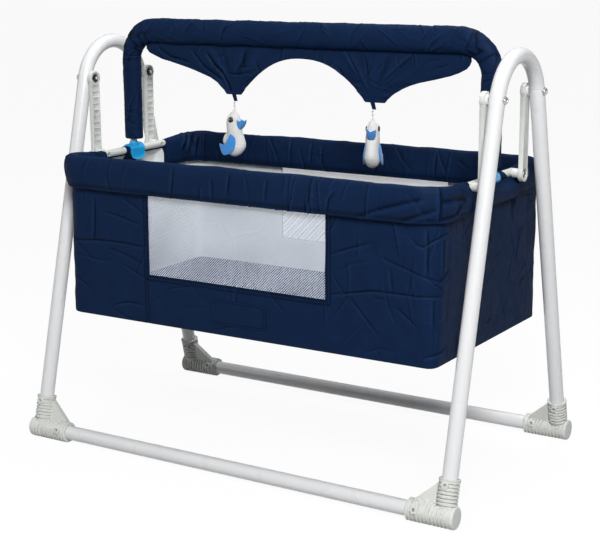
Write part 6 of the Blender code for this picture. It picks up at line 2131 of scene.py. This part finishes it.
    def pelmet_top(self, x: Array) -> Array:
        """Give the height of the pelmet's top edge, tucked a little into the sleeve."""
        beyond = np.maximum(np.abs(x) - (self.places.bar_x - self.bend_radius), 0.0)
        radius = self.bend_radius - self.top_width / 2
        return self.top_axis - self.bend_radius + np.sqrt(radius ** 2 - beyond ** 2) + 0.004

    def build_pelmet(self) -> None:
        """Sew the pelmet, with folds that gather at its two drops and a hem along its lower edge."""
        x = np.linspace(-self.pelmet_half, self.pelmet_half, 412)
        share = np.concatenate([np.linspace(0.0, self.hem_start, 40), self.hem_rows])
        top = self.pelmet_top(x)
        low = self.pelmet_top_z - self.pelmet_depth(x)
        z = top[:, None] + (low - top)[:, None] * share
        across = np.broadcast_to(x[:, None], z.shape)
        points = np.stack([across, 0 * z, z], axis=-1)
        y = self.pelmet_wave * Ripples(0.09, 231).at(points) * share
        half = self.pelmet_half
        fine = self.fine_creases.over((-half, 0.79), (half, 0.89))
        folds = creased(self.pelmet_creases + fine, across, z)
        rays = np.zeros(z.shape)
        for place in self.places.toy_x.values():
            reach_x, reach_z = across - place, z - self.pelmet_top_z + self.drop_depth - self.ray_lift
            turn = np.arctan2(reach_z, reach_x)
            away = np.hypot(reach_x, reach_z)
            ray = np.sin(turn * self.rays + 0.6) ** 3 + 0.5 * np.sin(turn * self.rays * 1.7)
            rays += self.ray_depth * ray * np.exp(-away / self.ray_reach) * unit((away - 0.012) / 0.05)
        fade = unit(share / 0.25)
        y = y - (folds + rays) * fade
        # The painted crease shade and highlight take the creases and a quarter of the rays' depth.
        folds = (folds + 0.25 * rays) * fade
        hem = self.hem_rise * (share > self.hem_start + 0.005)
        hem = hem - self.hem_dip * bell(share - self.hem_start, self.hem_dip_width)
        half = self.pelmet_cloth / 2 + hem
        draft = Draft()
        draft.shell(np.stack([across, y - half, z], axis=-1), np.stack([across, y + half, z], axis=-1),
                    relief=folds)
        pelmet = draft.piece("pelmet_cloth", self.finishes.navy, SOFT_DEG)
        settle(pelmet, "arch", Slot.NAVY, "pelmet")
        LOG.info("pelmet")

    def build_strap(self, side: str) -> None:
        """Sew the small strap that carries one toy's string."""
        low, half, columns = self.pelmet_top_z - self.drop_depth, self.strap_width / 2, 8
        across = np.linspace(-1.0, 1.0, columns)
        rows = []
        for share in np.linspace(0.0, 1.0, 16):
            z = low + self.strap_overlap - (self.strap_length + self.strap_overlap + 0.001) * share
            centre = self.places.toy_x[side] + self.strap_lean * (2 * share - 1)
            narrow = half * (1.0 - 0.25 * share)
            rows.append(np.stack([centre + narrow * across, np.full(columns, -0.0017 + 0.0006 * share),
                                  z + 0.0016 * across * (1 - share)], axis=1))
        draft = Draft()
        draft.shell(np.array(rows), np.array(rows) + self.strap_cloth * BACK)
        strap = draft.piece(f"toy_strap_{side}", self.finishes.navy, SOFT_DEG)
        settle(strap, "arch", Slot.NAVY)


@dataclass
class Toys:
    """The two plush birds that hang from the arch."""

    places: Places
    finishes: Finishes
    string_radius: float = 0.0011
    string_length: float = 0.0195
    string_pitch: float = 0.006
    knots: tuple[float, float] = (0.0035, 0.0105)
    knot_length: float = 0.0014
    cell: float = 0.0011
    top_lift: float = 0.0030
    head_half: float = 0.0120
    eye_drop: float = 0.0240
    eye_x: float = -0.0024
    eye_sunk: float = 0.0010
    eye_form: Curve = ((0.0, 0.0066), (0.0026, 0.0066), (0.0044, 0.0040), (0.0048, 0.0004))
    eyelid_form: Curve = ((0.0, 0.0094), (0.0012, 0.0090), (0.0016, 0.0072), (0.0014, 0.0064))
    glint_form: Curve = ((0.0, 0.0013), (0.0006, 0.0012), (0.0009, 0.0002))
    glint_out: float = 0.0043
    glint_place: tuple[float, float, float] = (-0.0014, 0.0, 0.0014)
    beak_squareness: float = 3.5
    beak_drop: float = 0.0262
    wing_side: float = 0.0150
    wing_flare: float = 0.11
    wing_puff: float = 0.0026
    tail_middle: tuple[float, float, float] = (-0.0225, 0.0, -0.069)
    tail_half: tuple[float, float, float] = (0.0085, 0.0070, 0.0150)
    wing_middle: tuple[float, float] = (-0.008, -0.083)
    turns_deg: tuple[tuple[str, float], ...] = (("left", 0.0), ("right", -71.0))
    body_curve: Curve = (
        (0.0, 0.0, 0.0014, 0.0014), (0.0050, -0.0006, 0.0040, 0.0036), (0.0105, -0.0018, 0.0090, 0.0078),
        (0.0170, -0.0024, 0.0140, 0.0112), (0.0238, -0.0028, 0.0168, 0.0132),
        (0.0305, -0.0029, 0.0174, 0.0140), (0.0372, -0.0026, 0.0176, 0.0146),
        (0.0452, -0.0016, 0.0182, 0.0152), (0.0506, -0.0006, 0.0190, 0.0152),
        (0.0586, 0.0002, 0.0210, 0.0144), (0.0666, 0.0012, 0.0236, 0.0140), (0.0774, 0.0022, 0.0252, 0.0158),
        (0.0854, 0.0022, 0.0246, 0.0168), (0.0935, 0.0008, 0.0214, 0.0158),
        (0.1002, -0.0006, 0.0166, 0.0128), (0.1046, -0.0014, 0.0110, 0.0088),
        (0.1072, -0.0018, 0.0050, 0.0040))
    beak_curve: Curve = (
        (0.0245, 0.0060, 0.0105, 0.0010, 0.0), (0.0215, 0.0070, 0.0150, 0.0046, 0.0),
        (0.0160, 0.0076, 0.0205, 0.0074, 0.0), (0.0105, 0.0080, 0.0250, 0.0090, 0.0),
        (0.0055, 0.0080, 0.0275, 0.0098, 0.0010), (0.0010, 0.0084, 0.0284, 0.0100, 0.0032),
        (0.0016, 0.0100, 0.0262, 0.0084, 0.0018), (0.0036, 0.0130, 0.0220, 0.0048, 0.0),
        (0.0046, 0.0170, 0.0180, 0.0004, 0.0))
    wing_outline: Curve = (
        (-0.0025, -0.0558), (0.0085, -0.0620), (0.0120, -0.0730), (0.0101, -0.0854), (0.0022, -0.0957),
        (-0.0072, -0.1012), (-0.0182, -0.1033), (-0.0261, -0.0978), (-0.0316, -0.0868), (-0.0338, -0.0790),
        (-0.0268, -0.0810), (-0.0198, -0.0806), (-0.0135, -0.0744), (-0.0072, -0.0634))

    def build(self) -> None:
        """Build and dress both birds."""
        for side, turn_deg in self.turns_deg:
            cos, sin = math.cos(math.radians(turn_deg)), math.sin(math.radians(turn_deg))
            axes = np.array(((cos, sin, 0.0), (-sin, cos, 0.0), UP))
            low = self.places.toy_z - self.string_length + self.top_lift
            top = np.array((self.places.toy_x[side], 0.0, low))
            self.build_string(side)
            self.build_body(side, top, axes)
            self.build_face(side, top, axes)
            self.build_wings(side, top, axes)
            LOG.info("bird %s", side)

    def build_string(self, side: str) -> None:
        """Twist the white string of one toy."""
        top = np.array((self.places.toy_x[side], 0.0, self.places.toy_z))
        turn = turns(18)
        rings = []
        for z in np.linspace(0.0015, -self.string_length - 0.002, 60):
            knots = sum(bell(z + at, self.knot_length) for at in self.knots)
            strands = 0.22 * np.cos(3 * (turn + z / self.string_pitch * FULL_TURN / 3))
            ring = on_circle(turn, self.string_radius * (1.0 + knots + strands))
            rings.append(top + np.column_stack([ring, np.full(len(turn), z)]))
        draft = Draft()
        draft.rod(np.array(rings))
        settle(draft.piece(f"toy_string_{side}_cord", self.finishes.cord, SOFT_DEG), f"string_{side}",
               Slot.CORD, f"toy_string_{side}")

    def ball(self, centre: Array, axes: Array, half: tuple[float, float, float], rows: int = 20,
             sides: int = 32) -> Array:
        """Give the rings of a rounded form with its poles along the third axis."""
        tilt = np.linspace(-math.pi / 2 + 0.06, math.pi / 2 - 0.06, rows)[:, None]
        turn = turns(sides)
        local = np.stack([half[0] * np.cos(tilt) * np.cos(turn), half[1] * np.cos(tilt) * np.sin(turn),
                          half[2] * np.sin(tilt) + 0 * turn], axis=-1)
        return centre + local @ axes

    def build_body(self, side: str, top: Array, axes: Array) -> None:
        """Stuff the white body, head and tail as one soft form."""
        turn = turns(48)
        rings = []
        for drop, middle, long, wide in self.body_curve:
            local = np.stack([middle + long * np.cos(turn), wide * np.sin(turn), np.full(48, -drop)], axis=1)
            rings.append(top + local @ axes)
        body = Draft().rod(np.array(rings)).piece(f"toy_{side}_plush", self.finishes.plush)
        lean = np.array(((0.93, 0.0, -0.36), (0.0, 1.0, 0.0), (0.36, 0.0, 0.93))) @ axes
        draft = Draft()
        draft.rod(self.ball(top + np.array(self.tail_middle) @ axes, lean, self.tail_half, 12, 20))
        carve(body, [draft.piece("tail", self.finishes.plush)], "UNION")
        cells = body.modifiers.new("cells", "REMESH")
        cells.mode = "VOXEL"
        cells.voxel_size = self.cell
        soften = body.modifiers.new("soften", "SMOOTH")
        soften.iterations = 4
        soften.factor = 0.6
        bake_modifiers(body)
        body.data.shade_smooth()
        dress(body, self.finishes.plush)
        settle(body, f"bird_{side}", Slot.PLUSH, f"toy_body_{side}", f"toy_head_{side}")

    def build_face(self, side: str, top: Array, axes: Array) -> None:
        """Set the two bead eyes with their glints, and sew on the beak: a tulip form with four points."""
        plush, lean, rise = self.finishes.plush, 0.06, 0.04
        for name, sign in (("a", -1.0), ("b", 1.0)):
            way = np.array((lean, sign, rise)) @ axes
            way /= np.linalg.norm(way)
            seat = top + np.array((self.eye_x, sign * (self.head_half - self.eye_sunk),
                                   -self.eye_drop)) @ axes
            spot = seat + way * self.glint_out + np.array(self.glint_place) @ axes
            # The glint is a small white plush dot on each bead: a painted highlight.
            for part, form, place, sides, finish in (
                    ("eye", fillet(self.eye_form, 0.0018, 5), seat, 32, self.finishes.eye),
                    ("eyelid", fillet(self.eyelid_form, 0.0006, 3), seat, 32, plush),
                    ("glint", fillet(self.glint_form, 0.0004), spot, 16, plush)):
                piece = solid_turned(f"toy_{side}_{part}_{name}", form, place, way, sides, finish)
                settle(piece, f"bird_{side}", Slot.PLUSH)
        turn = turns(48)
        points, power = np.abs(np.sin(2 * turn)) ** 1.5, self.beak_squareness
        square = (np.abs(np.cos(turn)) ** power + np.abs(np.sin(turn)) ** power) ** (-1 / power)
        rings = []
        for drop, near, far, wide, rise in self.beak_curve:
            long = (far - near) / 2
            local = np.stack([(near + far) / 2 + long * square * np.cos(turn), wide * square * np.sin(turn),
                              -self.beak_drop - drop + rise * points], axis=1)
            rings.append(top + local @ axes)
        beak = Draft().rod(np.array(rings)).piece(f"toy_{side}_beak", self.finishes.felt, SOFT_DEG)
        settle(beak, f"bird_{side}", Slot.FELT)

    def build_wings(self, side: str, top: Array, axes: Array) -> None:
        """Sew the two wings: padded teardrops that sweep down behind to a tip."""
        loop = smooth_loop(np.array(self.wing_outline), 96)
        centre = np.array(self.wing_middle)
        shares = np.sin(np.linspace(0.04, math.pi / 2, 12))
        for name, sign in (("a", -1.0), ("b", 1.0)):
            rings = []
            for face in (1.0, -1.0):
                order = shares if face > 0 else shares[::-1][1:]
                for share in order:
                    puff = self.wing_puff * (max(0.0, 1 - share ** 2) ** 0.5) * face
                    flat = centre + (loop - centre) * share
                    wrap = (self.wing_side - 5.0 * (flat[:, 0] + 0.004) ** 2
                            + self.wing_flare * (self.wing_outline[0][1] - flat[:, 1]))
                    local = np.stack([flat[:, 0], sign * (wrap + puff), flat[:, 1]], axis=1)
                    rings.append(top + local @ axes)
            draft = Draft()
            draft.rod(np.array(rings))
            wing = draft.piece(f"toy_{side}_wing_{name}", self.finishes.felt, ALL_SMOOTH)
            settle(wing, f"bird_{side}", Slot.FELT, *([f"toy_wings_{side}"] if name == "a" else []))


@dataclass
class Studio:
    """The pale floor, the soft lights and the camera."""

    place: tuple[float, float, float] = (1.59880, -2.60159, 1.09325)
    right: tuple[float, float, float] = (0.85297619, 0.52192477, -0.00511424)
    up: tuple[float, float, float] = (-0.11366809, 0.19531189, 0.97413183)
    back: tuple[float, float, float] = (0.50942241, -0.83032993, 0.22592258)
    lens: float = 84.008
    floor_half: float = 60.0
    floor_below: float = 0.0002
    floor_patch: float = 1.5
    floor_greys: tuple[Colour, Colour] = ((0.40, 0.40, 0.40), (0.42, 0.42, 0.42))
    floor_glow: float = 0.84
    floor_light: float = 1.12
    ambient: float = 0.06
    shine: float = 0.32
    aim: tuple[float, float, float] = (0.0, 0.0, 0.45)
    lamps: tuple[tuple[str, tuple[float, float, float], float, float], ...] = (
        ("key_lamp", (1.9, -2.6, 2.7), 1.2, 140.0), ("fill_lamp", (-2.8, -2.0, 1.8), 1.6, 13.0),
        ("top_lamp", (0.0, 0.6, 3.2), 1.4, 44.0))

    def build(self) -> None:
        """Build the studio."""
        self.build_camera()
        self.build_floor()
        self.build_lights()

    def build_camera(self) -> None:
        """Place the camera at the photograph's viewing angle."""
        data = bpy.data.cameras.new("view")
        data.lens = self.lens
        data.sensor_fit = "HORIZONTAL"
        data.clip_end = self.floor_half
        camera = bpy.data.objects.new("view", data)
        basis = Matrix((self.right, self.up, self.back)).transposed().to_4x4()
        camera.matrix_world = Matrix.Translation(self.place) @ basis
        bpy.context.collection.objects.link(camera)
        bpy.context.scene.camera = camera

    def build_floor(self) -> None:
        """Lay the floor, which the camera sees nearly white with the cradle's shadow on it."""
        draft = Draft()
        span = np.linspace(-self.floor_half, self.floor_half, 13)
        x, y = np.meshgrid(span, span)
        draft.grid(np.stack([x, y, 0 * x - self.floor_below], axis=-1))
        recipe = Recipe("studio_floor")
        recipe.set(roughness=0.9, specular_ior_level=0.1)
        recipe.tint(recipe.noise(self.floor_patch), *self.floor_greys)
        glow = recipe.node("ShaderNodeEmission", {"Strength": self.floor_light}).outputs[0]
        path = recipe.node("ShaderNodeLightPath").outputs
        seen = recipe.math("MAXIMUM", path["Is Camera Ray"], path["Is Glossy Ray"])
        part = recipe.math("MULTIPLY", seen, self.floor_glow)
        mix = recipe.node("ShaderNodeMixShader", {0: part, 1: recipe.shader.outputs[0], 2: glow}).outputs[0]
        recipe.tree.links.new(mix, recipe.tree.nodes["Material Output"].inputs["Surface"])
        draft.piece("studio_floor", recipe.material)

    def build_lights(self) -> None:
        """Light the cradle softly from all round, with lamps at the front right, at the left and above."""
        world = bpy.data.worlds.new("studio")
        world.use_nodes = True
        tree = world.node_tree
        path = add_node(tree, "ShaderNodeLightPath").outputs
        shine = add_node(tree, "ShaderNodeMath", {0: path["Is Glossy Ray"], 1: self.shine},
                         operation="MULTIPLY")
        seen = add_node(tree, "ShaderNodeMath", {0: path["Is Camera Ray"], 1: shine.outputs[0]},
                        operation="MAXIMUM")
        values = {"Value": seen.outputs[0], "To Min": self.ambient, "To Max": 1.0}
        strength = add_node(tree, "ShaderNodeMapRange", values)
        shade = tree.nodes["Background"].inputs
        shade["Color"].default_value = (1.0, 1.0, 1.0, 1.0)
        tree.links.new(strength.outputs[0], shade["Strength"])
        bpy.context.scene.world = world
        for name, place, size, power in self.lamps:
            data = bpy.data.lights.new(name, "AREA")
            data.shape = "SQUARE"
            data.size = size
            data.energy = power
            lamp = bpy.data.objects.new(name, data)
            lamp.location = place
            lamp.rotation_euler = (Vector(self.aim) - Vector(place)).to_track_quat("-Z", "Y").to_euler()
            bpy.context.collection.objects.link(lamp)
        bpy.context.scene.view_settings.view_transform = "Standard"


def main() -> None:
    """Build the cradle's looks in order."""
    logging.basicConfig(level=logging.INFO, format="%(name)s: %(message)s")
    places = Places.read()
    finishes = Finishes()
    Studio().build()
    for part in (Stand(places, finishes), Links(places, finishes), Rim(places, finishes),
                 Cover(places, finishes), Bedding(places, finishes), Arch(places, finishes),
                 Toys(places, finishes)):
        part.build()


if __name__ == "__main__":
    main()
